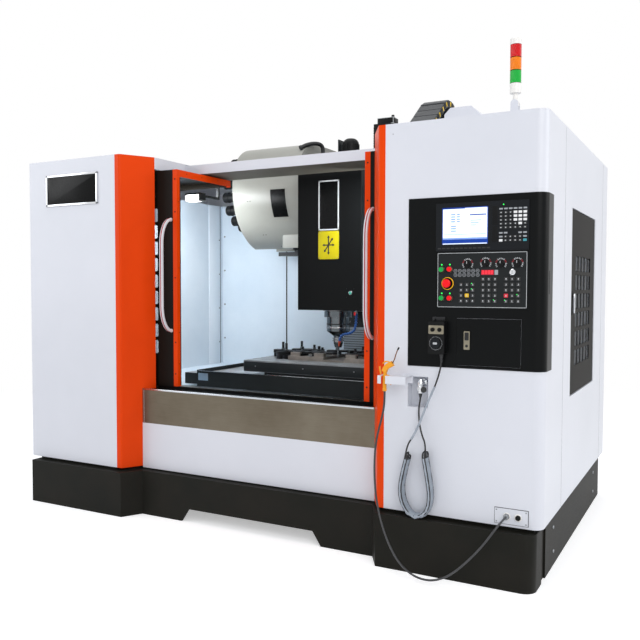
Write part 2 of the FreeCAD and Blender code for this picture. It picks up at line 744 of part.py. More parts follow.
def side_door_jamb():
    """The frame that the side door closes into, with a stop flange behind its edge."""
    gap = S.side_gap
    t = S.sheet
    inner_x = S.overall_width - S.side_recess - S.side_depth
    front = S.side_front - gap
    back = S.side_back + gap
    low = S.side_bottom - gap
    high = S.side_top + gap
    outer = box("jamb_outer", (inner_x - t, S.overall_width - t / 2), (front - t, back + t),
                (low - t, high + t))
    opening = box("jamb_opening", (inner_x, S.overall_width + t), (front, back), (low, high))
    stop = S.side_stop
    way = box("jamb_way", (inner_x - t * 2, S.overall_width + t), (front + stop, back - stop),
              (low + stop, high - stop))
    return [cut("side_jamb", outer, opening, way)]


def recess_opening():
    """The opening of the connector recess in the right cabinet's front."""
    return box("recess_opening", (S.recess_left, S.recess_right), (-S.sheet, S.sheet * 2),
               (S.recess_bottom, S.recess_top))


def recess_pan():
    """The pan behind the recess, and the socket on its back that takes the cord's plug."""
    t = S.sheet
    outer = box("recess_outer", (S.recess_left - t, S.recess_right + t), (t / 2, S.recess_depth),
                (S.recess_bottom - t, S.recess_top + t))
    inner = box("recess_inner", (S.recess_left, S.recess_right), (ZERO, S.recess_depth - t),
                (S.recess_bottom, S.recess_top))
    socket = rod("recess_socket", (S.plug_x, S.recess_depth - t, S.plug_z), "-Y",
                 S.plug_radius * 1.25, S.sheet * 4)
    return [cut("recess_pan", outer, inner), socket]


def tower_foot():
    """The bolted foot and fork that the signal tower folds on."""
    x = S.tower_x
    y = S.tower_y
    plate = rod("tower_foot_plate", (x, y, S.cabinet_top), "+Z", S.tower_foot_radius, S.sheet * 2)
    half = S.tower_disc_width / 2
    cheek = S.tower_disc_width * 0.3
    cheeks = []
    for name, side in (("front", -1), ("back", 1)):
        near = y + (half + S.running_gap * 3) * side
        far = near + cheek * side
        low, high = ordered(near, far)
        block = box("tower_cheek_" + name, (x - S.tower_disc, x + S.tower_disc), (low, high),
                    (S.cabinet_top + S.sheet, S.tower_hinge_z))
        ear = rod("tower_ear_" + name, (x, low, S.tower_hinge_z), "+Y", S.tower_disc, cheek)
        cheeks += [block, ear]
    return [plate] + cheeks


# ----------------------------------------------------------------------------------------
# Sliding doors
# ----------------------------------------------------------------------------------------
def window_grid(body, name, plane, u, v, depth_from, depth, columns, rows, backwards):
    """Cut a grid of windows into a body's skin."""
    first = pocket(body, name, plane, clipped_square(u, v, S.window_size, S.window_corner),
                   depth_from, depth)
    across = "X" if plane == "XZ" else "Y"
    return repeat(body, first, [(across, backwards, S.window_pitch, columns),
                                ("Z", False, S.window_pitch, rows)])


def make_left_door_parts():
    """The left door: black pan with windows and a roof part, orange edge, glass and handle."""
    t = S.sheet
    edge = S.left_door_edge_end
    strip = edge - S.door_edge_width
    far = edge - S.door_width
    front = S.door_front
    back = front + S.door_depth
    bottom = S.sill_top + S.rail_height
    top = S.door_top
    pan = prism("left_pan", "XZ", rectangle((far, strip), (bottom, top)), front, back)
    pocket(pan, "left_pan_hollow", "XZ",
           rectangle((far + t, strip - t), (bottom + t, top - t)), front + t, S.door_depth)
    first_u = edge - S.door_edge_width - S.window_margin - S.window_size
    window_grid(pan, "left_windows", "XZ", first_u, S.window_bottom, front, t * 1.01,
                S.window_columns, S.window_rows, True)
    roof = box("left_door_roof", (far, strip), (back, S.door_roof_back), (top - t, top))
    roof_lip = box("left_door_roof_lip", (far, strip), (S.door_roof_back - t, S.door_roof_back),
                   (top - S.door_beam_height, top - t))
    panel = fuse("left_door_panel", pan, roof, roof_lip)
    post = box("left_edge_post", (strip, edge), (front, back), (bottom, top))
    beam = box("left_edge_beam", (strip, edge), (back, S.door_roof_back),
               (top - S.door_beam_height, top))
    beam_hollow = box("left_edge_hollow", (strip - t, edge - t), (back + t, S.door_roof_back - t),
                      (top - S.door_beam_height - t, top - t))
    guard = box("left_edge_guard", (strip, strip + t), (back, back + S.door_edge_width),
                (bottom, top - S.door_beam_height))
    edge_piece = fuse("left_door_edge_frame", cut("left_edge_box", fuse("left_edge_solid", post, beam),
                                                  beam_hollow), guard)
    glass = box("left_glass", (far + t * 2, strip - t * 2), (front + t, front + t + S.glass_thickness),
                (bottom + t * 2, top - t * 2))
    middle = strip - S.handle_offset
    half = S.handle_width / 2
    grip_front = front - S.handle_reach
    grip = S.handle_thickness
    low = S.handle_bottom
    high = S.handle_top
    foot = S.handle_foot
    bow = [
        (front, low), (front, low + grip * 1.6), (grip_front + grip * 2.2, low + foot * 1.5),
        (grip_front + grip, low + foot * 3.2), (grip_front + grip, high - foot * 3.2),
        (grip_front + grip * 2.2, high - foot * 1.5), (front, high - grip * 1.6), (front, high),
        (grip_front + grip * 1.1, high - foot * 1.2), (grip_front, high - foot * 3),
        (grip_front, low + foot * 3), (grip_front + grip * 1.1, low + foot * 1.2),
    ]
    handle = prism("left_handle", "YZ", bow, middle - half, middle + half)
    return {"door": panel, "door_edge": edge_piece, "door_glass": glass, "door_handle": handle}


def make_doors():
    """Both sliding doors; the right one is the left one's mirror image, fully open."""
    for part, item in make_left_door_parts().items():
        piece("left_" + part, item)
        piece("right_" + part, mirrored("right_" + part + "_body", item, S.doors_meet,
                                        S.right_door_shift))


# ----------------------------------------------------------------------------------------
# Bed, column, saddle, table and head
# ----------------------------------------------------------------------------------------
def make_structure():
    """The cast bed and column, with the lift motor on the column's top plate."""
    x = S.spindle_x
    back = S.overall_depth - S.column_back_gap
    bed = box("bed_block", (x - S.bed_half_width, x + S.bed_half_width), (S.bed_front, back),
              (ZERO, S.bed_top))
    window = box("bed_core", (x - S.bed_half_width * 0.55, x + S.bed_half_width * 0.55),
                 (S.bed_front - S.sheet, S.column_front), (S.bed_top * 0.2, S.bed_top * 0.8))
    piece("bed", cut("bed_body", bed, window))
    half = S.column_half_width
    column = box("column_block", (x - half, x + half), (S.column_front, back),
                 (S.bed_top, S.column_top))
    plate = box("chain_plate", (x + half, S.chain_left + S.chain_width),
                (chain_foot(S.chain_radius, S.column_top) - S.sheet * 2, back),
                (S.column_top - S.column_plate, S.column_top))
    size = S.lift_motor_size
    motor_y = (S.column_front + back) / 2
    motor = box("lift_motor", (x - size / 2, x + size / 2), (motor_y - size / 2, motor_y + size / 2),
                (S.column_top, S.column_top + S.lift_motor_height))
    cap = box("lift_motor_cap", (x - size * 0.35, x + size * 0.62),
              (motor_y - size * 0.35, motor_y + size * 0.35),
              (S.column_top + S.lift_motor_height,
               S.column_top + S.lift_motor_height + S.lift_motor_cap))
    piece("column", fuse("column_body", column, plate, motor, cap))
    pitch = (S.way_cover_top - S.way_cover_bottom) / S.way_cover_slats
    outline = [(S.column_front, S.way_cover_top), (S.column_front, S.way_cover_bottom)]
    for slat in range(int(float(S.way_cover_slats))):
        low = S.way_cover_bottom + pitch * slat
        outline.append((S.column_front - S.way_cover_depth, low))
        outline.append((S.column_front - S.way_cover_depth * 0.55, low + pitch))
    piece("column_way_cover", prism("way_cover_body", "YZ", outline, x - S.way_cover_half,
                                    x + S.way_cover_half))


def make_saddle_and_table():
    """The saddle with its tray, and the slotted table with the plate and clamps on it."""
    x = S.spindle_x
    t = S.sheet
    half = S.saddle_half_width
    casting = box("saddle_casting", (x - half, x + half), (S.saddle_front, S.saddle_back),
                  (S.bed_top, S.table_bottom))
    tray_half = S.tray_half_width
    outer = box("tray_outer", (x - tray_half, x + tray_half), (S.tray_front, S.tray_back),
                (S.tray_bottom, S.tray_top))
    tray_floor = S.tray_top - S.tray_depth
    inner = box("tray_inner", (x - tray_half + t, x + tray_half - t),
                (S.tray_front + t, S.tray_back - t), (S.tray_bottom - t, tray_floor - t))
    hollow = box("tray_hollow", (x - tray_half + t, x + tray_half - t),
                 (S.tray_front + t, S.tray_back - t), (tray_floor, S.tray_top + t))
    rims = [
        box("tray_rim_left", (x - tray_half, x - tray_half + t), (S.tray_front, S.tray_back),
            (S.tray_top - t, S.tray_top + S.tray_rim)),
        box("tray_rim_right", (x + tray_half - t, x + tray_half), (S.tray_front, S.tray_back),
            (S.tray_top - t, S.tray_top + S.tray_rim)),
    ]
    piece("saddle", fuse("saddle_body", casting, cut("tray_shell", outer, inner, hollow), *rims))
    front = S.table_front
    back = front + S.table_depth
    table = box("table_block", (x - S.table_half_width, x + S.table_half_width), (front, back),
                (S.table_bottom, S.table_top))
    tools = []
    middle = float(S.slot_count - 1) / 2
    for number in range(int(float(S.slot_count))):
        slot_y = front + S.table_depth / 2 + S.slot_pitch * (number - middle)
        depth = S.table_top - S.slot_depth
        profile = [
            (slot_y - S.slot_width / 2, S.table_top + t), (slot_y - S.slot_width / 2, depth),
            (slot_y - S.slot_base_width / 2, depth),
            (slot_y - S.slot_base_width / 2, depth - S.slot_base_depth),
            (slot_y + S.slot_base_width / 2, depth - S.slot_base_depth),
            (slot_y + S.slot_base_width / 2, depth), (slot_y + S.slot_width / 2, depth),
            (slot_y + S.slot_width / 2, S.table_top + t),
        ]
        tools.append(prism("slot_%d" % number, "YZ", profile, x - S.table_half_width - t,
                           x + S.table_half_width + t))
    piece("table", cut("table_body", table, *tools))
    plate_front = front + (S.table_depth - S.fixture_depth) / 2
    plate_top = S.table_top + S.fixture_thickness
    plate = box("fixture_plate", (x - S.fixture_half_width, x + S.fixture_half_width),
                (plate_front, plate_front + S.fixture_depth), (S.table_top, plate_top))
    blocks = []
    for number, spot in enumerate((-0.86, -0.34, 0.34, 0.86)):
        centre = x + S.fixture_half_width * spot
        blocks.append(box("clamp_%d" % number,
                          (centre - S.clamp_width / 2, centre + S.clamp_width / 2),
                          (plate_front + t * 4, plate_front + t * 4 + S.clamp_depth),
                          (plate_top, plate_top + S.clamp_height)))
    relief = box("fixture_relief", (x - S.fixture_half_width * 0.22, x + S.fixture_half_width * 0.22),
                 (plate_front - t, plate_front + S.fixture_depth + t),
                 (plate_top - S.fixture_thickness * 0.6, plate_top + t))
    piece("fixture", cut("fixture_body", fuse("fixture_blocks", plate, *blocks), relief))


def make_head():
    """The covered spindle head, its ribbed motor, the coolant hose and the spindle."""
    x = S.spindle_x
    half = S.cover_half_width
    wall = S.cover_wall
    outer = box("head_outer", (x - half, x + half), (S.cover_front, S.column_front),
                (S.cover_bottom, S.cover_top))
    inner = box("head_inner", (x - half + wall, x + half - wall),
                (S.cover_front + wall, S.column_front - wall),
                (S.cover_bottom + wall * 8, S.cover_top - wall))
    plates = []
    for name, low, high in (("upper", S.upper_plate_bottom, S.upper_plate_top),
                            ("lower", S.lower_plate_bottom, S.lower_plate_top)):
        plates.append(box("head_plate_" + name, (x - S.plate_half_width, x + S.plate_half_width),
                          (S.cover_front - S.plate_thickness, S.cover_front), (low, high)))
    hollow = cut("head_shell", outer, inner)
    piece("head_cover", fuse("head_cover_body", hollow, *plates))
    left = x - S.motor_left
    right = x + S.motor_right
    back = S.motor_front + S.motor_depth
    height = S.motor_top - S.cover_top
    core = box("spindle_motor_core", (left, right), (S.motor_front, back),
               (S.cover_top, S.motor_top))
    pitch = height / (S.motor_fins * 2)
    grooves = []
    for number in range(int(float(S.motor_fins)) - 1):
        low = S.cover_top + pitch * (number * 2 + 2)
        ring = box("fin_ring_%d" % number, (left - wall, right + wall),
                   (S.motor_front - wall, back + wall), (low, low + pitch))
        keep = box("fin_keep_%d" % number, (left + wall * 2, right - wall * 2),
                   (S.motor_front + wall * 2, back - wall * 2), (low - pitch, low + pitch * 2))
        grooves.append(cut("fin_groove_%d" % number, ring, keep))
    piece("spindle_motor", cut("spindle_motor_body", core, *grooves))
    nose = [
        (S.flange_radius, ZERO), (S.flange_radius, S.flange_drop),
        (S.nose_radius, S.flange_drop), (S.nose_radius, S.cover_bottom - S.nose_bottom),
        (S.holder_radius, S.cover_bottom - S.nose_bottom + S.nose_taper),
        (S.holder_radius, S.cover_bottom - S.holder_bottom - S.nose_taper),
        (S.holder_neck, S.cover_bottom - S.holder_bottom),
        (S.tool_radius, S.cover_bottom - S.holder_bottom),
        (S.tool_radius, S.cover_bottom - S.tool_tip),
    ]
    piece("spindle", turned("spindle_body", (x, S.spindle_y, S.cover_bottom), "-Z", nose))


# ----------------------------------------------------------------------------------------
# Tool changer
# ----------------------------------------------------------------------------------------
def make_changer():
    """The rounded magazine cover, the drum of tool pots and the double-ended changer arm."""
    left = S.magazine_left
    right = S.magazine_right
    wall = S.magazine_wall

    def hood(name, inset, x_start, x_end):
        """The cover's side form, made by a slab, two rounds and a block."""
        front = S.magazine_front + inset
        top = S.magazine_top - inset
        lower_r = S.lower_radius - inset
        upper_r = S.upper_radius - inset
        lower_y = front + lower_r
        upper_y = front + upper_r
        split_low = top - upper_r
        lower_z = split_low - S.corner_radius
        length = x_end - x_start
        upper_round = rod(name + "_upper_round", (x_start, upper_y, split_low), "+X", upper_r, length)
        upper_block = box(name + "_upper_block", (x_start, x_end), (upper_y, S.magazine_back - inset),
                          (lower_z, top))
        middle = box(name + "_middle", (x_start, x_end), (front, upper_y + upper_r * 0.1),
                     (lower_z, split_low))
        lower_round = rod(name + "_lower_round", (x_start, lower_y, lower_z), "+X", lower_r, length)
        lower_keep = box(name + "_lower_keep", (x_start, x_end), (front, S.magazine_back - inset),
                         (S.magazine_bottom, lower_z))
        lower = common(name + "_lower", lower_round, lower_keep)
        back = box(name + "_back", (x_start, x_end), (lower_y, S.magazine_back - inset),
                   (S.magazine_bottom, lower_z))
        return fuse(name, upper_round_top(name, upper_round, x_start, x_end, front, split_low, top,
                                          upper_y), upper_block, middle, lower, back)

    def upper_round_top(name, cylinder, x_start, x_end, front, low, top, upper_y):
        """The quarter of the upper round that shows."""
        keep = box(name + "_upper_keep", (x_start, x_end), (front, upper_y), (low, top))
        return common(name + "_upper", cylinder, keep)

    outer = hood("hood_outer", ZERO, left, right)
    inner = hood("hood_inner", wall, left - wall, right - wall)
    mouth = box("hood_mouth", (left - wall, right - wall),
                (S.magazine_back - S.lower_radius, S.magazine_back - wall),
                (S.magazine_bottom - wall, S.magazine_bottom + wall))
    gx = S.gearbox_x
    gy = S.gearbox_y
    half = S.gearbox_half
    gearbox = box("arm_gearbox", (gx - half, right - wall / 2), (gy - half, S.magazine_back - wall / 2),
                  (S.magazine_bottom, S.magazine_bottom + S.gearbox_height * 0.6))
    shell = cut("hood_shell", outer, inner, mouth)
    piece("magazine_cover", fuse("magazine_cover_body", shell, gearbox))
    centre_y = S.drum_y
    centre_z = S.drum_z
    plate_left = S.pot_left + S.pot_length
    rim = S.pot_circle + S.pot_radius
    plate = rod("drum_plate_disc", (plate_left, centre_y, centre_z), "+X", rim, S.drum_plate)
    shaft_start = plate_left + S.drum_plate
    shaft = rod("drum_shaft_rod", (shaft_start - wall, centre_y, centre_z), "+X", S.drum_shaft,
                right - wall - shaft_start + wall)
    pots = []
    count = int(float(S.pot_count))
    for number in range(count):
        angle = 2 * math.pi * (number + 0.5) / count
        spot_y = centre_y + S.pot_circle * math.cos(angle)
        spot_z = centre_z + S.pot_circle * math.sin(angle)
        pots.append(rod("pot_%d" % number, (S.pot_left, spot_y, spot_z), "+X", S.pot_radius,
                        S.pot_length + S.drum_plate / 2))
    piece("tool_magazine", fuse("drum_body", plate, shaft, *pots))
    arm_top = S.magazine_bottom - S.arm_drop
    arm_low = arm_top - S.arm_thickness
    reach = S.arm_reach
    width = S.arm_width / 2
    bar = box("arm_bar", (gx - reach, gx + reach), (gy - width, gy + width), (arm_low, arm_top))
    ends = []
    jaws = []
    for name, side in (("left", -1), ("right", 1)):
        tip = gx + reach * side
        ends.append(rod("arm_end_" + name, (tip, gy, arm_low), "+Z", width, S.arm_thickness))
        jaws.append(rod("arm_jaw_" + name, (tip + S.jaw_radius * 0.35 * side, gy - S.jaw_radius * 0.6 * side,
                                            arm_low - S.sheet), "+Z", S.jaw_radius,
                        S.arm_thickness + S.sheet * 2))
    hub = rod("arm_hub", (gx, gy, arm_low), "+Z", S.arm_shaft, S.magazine_bottom - arm_low)
    solid = fuse("arm_solid", bar, hub, *ends)
    piece("changer_arm", cut("changer_arm_body", solid, *jaws))


def chain_foot(radius, base):
    """How far back the leaning leg stands at a height: it rises 3 for each 4 back to the arch."""
    rise = S.chain_centre_z + radius * 0.8 - base
    return S.chain_y - radius * 0.6 - rise * 4 / 3


def chain_form(name, radius, base, start, end):
    """The carrier's side form: a leaning front leg, a round arch and an upright rear leg."""
    y = S.chain_y
    z = S.chain_centre_z
    legs = prism(name + "_legs", "YZ", [
        (chain_foot(radius, base), base), (y + radius, base), (y + radius, z), (y, z),
        (y - radius * 0.6, z + radius * 0.8),
    ], start, end)
    arch = common(name + "_arch", rod(name + "_round", (start, y, z), "+X", radius, end - start),
                  box(name + "_above", (start, end), (y - radius, y + radius), (base, z + radius)))
    return fuse(name, arch, legs)


def make_cable_chain():
    """The cable carrier that arches over the plate at the column's top."""
    left = S.chain_left
    right = left + S.chain_width
    t = S.sheet
    outer = chain_form("chain_outer", S.chain_radius, S.column_top, left, right)
    inner = chain_form("chain_inner", S.chain_radius - S.chain_band, S.column_top - t, left - t,
                       right + t)
    piece("cable_chain", cut("cable_chain_body", outer, inner))


# ----------------------------------------------------------------------------------------
# Control panel and its controls
# ----------------------------------------------------------------------------------------
def make_control_panel():
    """The black panel that wraps round the corner, with a raised rim round the controls."""
    left = S.panel_left
    face = -S.panel_proud
    side = S.overall_width
    outline = [
        (left, face), (side + S.panel_proud, face), (side + S.panel_proud, S.panel_wrap),
        (side, S.panel_wrap), (side, ZERO), (left, ZERO),
    ]
    panel = prism("panel_sheet", "XY", outline, S.panel_bottom, S.panel_top)
    round_edges(panel, "panel_outer_round", S.corner_radius + S.panel_proud,
                lambda p, e: upright(p, e) and p.x > float(side) + 1 and p.y < -1)
    round_edges(panel, "panel_inner_round", S.corner_radius,
                lambda p, e: upright(p, e) and abs(p.x - float(side)) < 0.5 and abs(p.y) < 0.5)
    rim_outer = box("rim_outer", (S.display_left, S.display_right), (face - S.frame_proud, face),
                    (S.frame_bottom, S.display_bottom))
    rim_inner = box("rim_inner", (S.display_left + S.frame_rim, S.display_right - S.frame_rim),
                    (face - S.frame_proud * 2, face + S.frame_proud),
                    (S.frame_bottom + S.frame_rim, S.display_bottom - S.frame_rim))
    rim = cut("panel_rim", rim_outer, rim_inner)
    key_block = []
    for name, first_x, rows in (("feed", S.feed_caps_left, S.feed_cap_rows),
                                ("axis", S.axis_caps_left, S.axis_cap_rows),
                                ("mode", S.mode_caps_left, S.mode_cap_rows)):
        for column in range(int(float(S.cap_columns))):
            for row in range(int(float(rows))):
                cap_x = S.display_left + first_x + S.cap_pitch * column
                cap_z = S.frame_bottom + S.caps_above_frame + S.cap_row_pitch * row
                key_block.append(box("%s_key_%d_%d" % (name, column, row),
                                     (cap_x - S.cap_width / 2, cap_x + S.cap_width / 2),
                                     (face - S.frame_proud / 2, face),
                                     (cap_z - S.cap_height / 2, cap_z + S.cap_height / 2)))
    hatch = box("hatch_opening", (S.door_left - S.cover_gap, S.door_right + S.cover_gap),
                (face - 1, ZERO + 1), (S.door_bottom - S.cover_gap, S.door_top_edge + S.cover_gap))
    collars = []
    for name, x, z in BUTTONS:
        collars.append(collar(name, on_panel(x, face, z), S.button_radius, S.bezel,
                              S.collar_length))
    collars.append(collar("emergency_stop", (S.stop_x, face, S.stop_z), S.stop_radius * 0.5,
                          S.stop_collar - S.stop_radius * 0.5, S.collar_length))
    cut_panel = cut("panel_cut", panel, hatch)
    piece("control_panel", fuse("control_panel_body", cut_panel, rim, *(key_block + collars)))
    proud = face - S.display_proud
    bezel = box("display_bezel", (S.display_left, S.display_right), (proud, face),
                (S.display_bottom, S.display_top))
    screen = box("display_screen", (S.screen_left, S.screen_right), (proud - 1, proud + S.screen_recess),
                 (S.screen_bottom, S.screen_top))
    gaps = []
    for name, offset in (("card_door", S.card_slot_offset), ("keypad", S.keypad_slot_offset)):
        low = S.screen_right + offset
        gaps.append(box(name + "_gap", (low, low + S.display_slot),
                        (proud - 1, proud + S.screen_recess), (S.screen_bottom, S.screen_top)))
    piece("display_unit", cut("display_unit_body", bezel, screen, *gaps))


def on_panel(x, y, z):
    """A point given from the lower left corner of the operator's panel."""
    return (S.display_left + x, y, S.frame_bottom + z)


def collar(name, where, bore, wall, length):
    """A ring that guides a button: its bore leaves the running gap."""
    outer = rod(name + "_collar_outer", where, "-Y", bore + wall, length)
    inner = rod(name + "_collar_bore", where, "-Y", bore + S.running_gap, length * 2)
    return cut(name + "_collar", outer, inner)


# Places of the push buttons and the override knobs on the operator's panel.
BUTTONS = (
    ("power_on_button", 28, 183),
    ("power_off_button", 67, 184),
    ("cycle_start_button", 29, 50),
    ("feed_hold_button", 68, 50),
)
KNOBS = ((152, 207), (236, 210), (306, 207), (380, 208))


def make_controls():
    """Push buttons, the emergency stop, the override knobs and the key switch."""
    face = -S.panel_proud
    for name, x, z in BUTTONS:
        piece(name, rod(name + "_body", on_panel(x, face - S.button_travel, z), "-Y",
                        S.button_radius, S.button_length))
    for number, (x, z) in enumerate(KNOBS, 1):
        profile = [
            (S.knob_skirt, ZERO), (S.knob_skirt, S.knob_length * 0.2),
            (S.knob_radius, S.knob_length * 0.35), (S.knob_radius * 0.93, S.knob_length),
        ]
        name = "override_knob_%d" % number
        piece(name, turned(name + "_body", on_panel(x, face, z), "-Y", profile))
    stop = [
        (S.stop_radius * 0.5, ZERO), (S.stop_radius * 0.5, S.stop_radius * 0.6),
        (S.stop_radius, S.stop_radius * 0.75), (S.stop_radius, S.stop_radius * 1.1),
        (S.stop_radius * 0.7, S.stop_radius * 1.35),
    ]
    piece("emergency_stop", turned("emergency_stop_body",
                                   (S.stop_x, face - S.button_travel, S.stop_z), "-Y", stop))
    key = rod("key_barrel", (S.key_x, face, S.key_z), "-Y", S.key_barrel, S.key_length * 0.35)
    bow = box("key_bow", (S.key_x - S.key_bow_half, S.key_x + S.key_bow_half),
              (face - S.key_length, face - S.key_length * 0.3),
              (S.key_z - S.key_barrel, S.key_z + S.key_barrel * 0.6))
    piece("key_switch", fuse("key_switch_body", key, bow))
    hatch_face = face - S.cover_proud
    hatch = box("hatch_plate", (S.door_left, S.door_right), (hatch_face, ZERO),
                (S.door_bottom, S.door_top_edge))
    latch = box("hatch_latch", (S.latch_x - S.latch_width / 2, S.latch_x + S.latch_width / 2),
                (hatch_face - S.sheet, hatch_face),
                (S.latch_bottom, S.latch_bottom + S.latch_height))
    piece("panel_door", fuse("panel_door_body", hatch, latch))


def make_hand_unit():
    """The hand unit with its pulse dial and two selectors."""
    face = -S.panel_proud
    front = face - S.unit_depth
    body = prism("hand_unit_case", "XZ",
                 rectangle((S.unit_left, S.unit_right), (S.unit_bottom, S.unit_top)), front, face)
    round_edges(body, "hand_unit_round", S.unit_round,
                lambda p, e: abs(e.tangentAt(e.FirstParameter).y) > 0.999)
    piece("hand_unit", body)
    middle = (S.unit_left + S.unit_right) / 2
    dial = [
        (S.dial_radius, ZERO), (S.dial_radius, S.dial_length * 0.6),
        (S.dial_radius * 0.86, S.dial_length),
    ]
    piece("pulse_dial", turned("pulse_dial_body", (middle, front, S.dial_z), "-Y", dial))
    for name, side in (("axis_selector", -1), ("step_selector", 1)):
        profile = [
            (S.selector_radius, ZERO), (S.selector_radius, S.selector_length * 0.4),
            (S.selector_radius * 0.6, S.selector_length),
        ]
        piece(name, turned(name + "_body",
                           (middle + S.selector_radius * 1.7 * side, front, S.selector_z),
                           "-Y", profile))


def make_hook():
    """The folded hook plate that the air gun hangs in."""
    t = S.sheet
    top = S.hook_top
    outline = [
        (-t, S.hook_back), (ZERO, S.hook_back), (ZERO, top), (-S.hook_reach, top),
        (-S.hook_reach, top - S.hook_lip), (-S.hook_reach + t, top - S.hook_lip),
        (-S.hook_reach + t, top - t), (-t, top - t),
    ]
    plate = prism("hook_plate", "YZ", outline, S.hook_left, S.hook_right)
    hole = rod("hook_hole_cut", (S.hook_hole_x, -S.hook_reach / 2, top - t * 2), "+Z",
               S.hook_hole, t * 3)
    slot = box("hook_slot_cut", (S.hook_slot_x - S.hook_slot / 2, S.hook_slot_x + S.hook_slot / 2),
               (-S.hook_reach - t, -S.hook_reach + S.hook_slot_depth),
               (top - S.hook_lip - t, top + t))
    piece("hook_bracket", cut("hook_bracket_body", plate, hole, slot))


def port_plate():
    """The port plate low on the right cabinet, with one port in use and one blank."""
    proud = -S.port_proud
    plate = box("port_plate_sheet", (S.port_left, S.port_right), (proud, ZERO),
                (S.port_bottom, S.port_top))
    port = rod("port_fitting", (S.port_hose_x, proud, S.port_z), "-Y", S.port_radius, S.port_collar)
    blank = rod("port_blank", (S.port_blank_x, proud, S.port_z), "-Y", S.port_radius,
                S.port_collar * 0.4)
    return [plate, port, blank]


def make_side_door():
    """The hinged door in the right side, with windows, glass and a keyed lock."""
    t = S.sheet
    face = S.overall_width - S.side_recess
    inner = face - S.side_depth
    pan = prism("side_pan", "YZ", rectangle((S.side_front, S.side_back), (S.side_bottom, S.side_top)),
                inner, face)
    pocket(pan, "side_pan_hollow", "YZ",
           rectangle((S.side_front + t, S.side_back - t), (S.side_bottom + t, S.side_top - t)),
           face - t, S.side_depth)
    window_grid(pan, "side_windows", "YZ", S.side_window_front, S.side_window_bottom, face,
                t * 1.01, S.side_columns, S.side_rows, False)
    lock = box("lock_case", (face, face + S.lock_plate),
               (S.lock_y - S.lock_width / 2, S.lock_y + S.lock_width / 2),
               (S.lock_z - S.lock_height / 2, S.lock_z + S.lock_height / 2))
    piece("side_door", fuse("side_door_body", pan, lock))
    glass = box("side_glass", (face - t - S.glass_thickness, face - t),
                (S.side_front + t * 2, S.side_back - t * 2), (S.side_bottom + t * 2, S.side_top - t * 2))
    piece("side_door_glass", glass)
    hub_z = S.lock_z + S.lock_height * 0.3
    hub = rod("lock_hub", (face + S.lock_plate, S.lock_y, hub_z), "+X", S.lock_width * 0.35,
              S.lock_proud - S.lock_plate)
    lever = box("lock_lever", (face + S.lock_plate * 2, face + S.lock_proud),
                (S.lock_y - S.lock_width * 0.25, S.lock_y + S.lock_width * 0.25),
                (S.lock_z - S.lock_height * 0.42, hub_z))
    piece("side_door_lock", fuse("side_lock_body", hub, lever))


def make_tower_light():
    """The signal tower: hinge disc, pole, housing, three lens modules and a cap, in one stack."""
    x = S.tower_x
    y = S.tower_y
    z = S.tower_hinge_z
    disc = rod("tower_disc_rod", (x, y - S.tower_disc_width / 2, z), "+Y", S.tower_disc,
               S.tower_disc_width)
    profile = [
        (S.tower_pole, ZERO), (S.tower_pole, S.tower_base - z),
        (S.lens_radius, S.tower_base - z), (S.lens_radius, S.lens_bottom - z - S.sheet),
    ]
    for number in range(3):
        low = S.lens_bottom - z + S.lens_height * number
        profile.append((S.lens_radius - S.sheet / 2, low - S.sheet))
        profile.append((S.lens_radius - S.sheet / 2, low))
        profile.append((S.lens_radius, low))
        profile.append((S.lens_radius, low + S.lens_height - S.sheet))
    profile.append((S.lens_radius, S.tower_top - z - S.sheet))
    profile.append((S.lens_radius - S.sheet, S.tower_top - z))
    stack = turned("tower_stack", (x, y, z), "+Z", profile)
    piece("tower_light", fuse("tower_light_body", disc, stack))


def make_work_lamp():
    """The long lamp that hangs under the front of the roof sheet at the left."""
    roof = S.cabinet_top - S.roof_drop
    front = S.lamp_front
    body = box("lamp_body", (S.lamp_left, S.lamp_left + S.lamp_length),
               (front, front + S.lamp_depth), (S.lamp_bottom, S.lamp_bottom + S.lamp_height))
    bar = (S.lamp_bar_left, S.lamp_bar_left + S.lamp_bar)
    back = S.roof_back - S.lamp_roof_edge
    low = S.lamp_bottom + S.lamp_bar_rise
    arm = box("lamp_arm", bar, (back - S.lamp_bar, back), (low, roof))
    link = box("lamp_link", bar, (front + S.lamp_bar_setback, back), (low, low + S.lamp_bar))
    piece("work_lamp", fuse("work_lamp_body", body, arm, link))


# ----------------------------------------------------------------------------------------
# Cords
# ----------------------------------------------------------------------------------------
def tube(name, points, radius):
    """A cord: straight runs joined by tangent arcs as large as the runs allow."""
    corners = [Vector(*map(float, point)) for point in points]
    edges = []
    start = corners[0]
    radii = []
    length = 0.0
    for i in range(1, len(corners) - 1):
        before = corners[i] - corners[i - 1]
        after = corners[i + 1] - corners[i]
        turn = before.getAngle(after)
        shorter = min(before.Length, after.Length)
        bend = 0.45 * shorter / math.tan(turn / 2)
        radii.append(bend)
        reach = 0.45 * shorter
        into = before.normalize()
        away = after.normalize()
        arc_start = corners[i] - into * reach
        arc_end = corners[i] + away * reach
        centre_way = (away - into).normalize()
        centre = corners[i] + centre_way * (bend / math.cos(turn / 2))
        middle = centre - centre_way * bend
        edges.append(Part.LineSegment(start, arc_start).toShape())
        edges.append(Part.Arc(arc_start, middle, arc_end).toShape())
        length += (arc_start - start).Length + bend * turn
        start = arc_end
    edges.append(Part.LineSegment(start, corners[-1]).toShape())
    length += (corners[-1] - start).Length
    path = Part.Wire(edges)
    thick = float(radius)
    direction = corners[1] - corners[0]
    circle = Part.Wire([Part.Circle(corners[0], direction, thick).toShape()])
    solid = path.makePipeShell([circle], True, False, 2)
    if solid.Volume < 0:
        solid.reverse()
    print("%s: length %.0f mm, smallest radius %.0f mm (%.1f diameters), volume %.4f of section x length"
          % (name, length, min(radii), min(radii) / (2 * thick),
             solid.Volume / (math.pi * thick ** 2 * length)))
    return solid


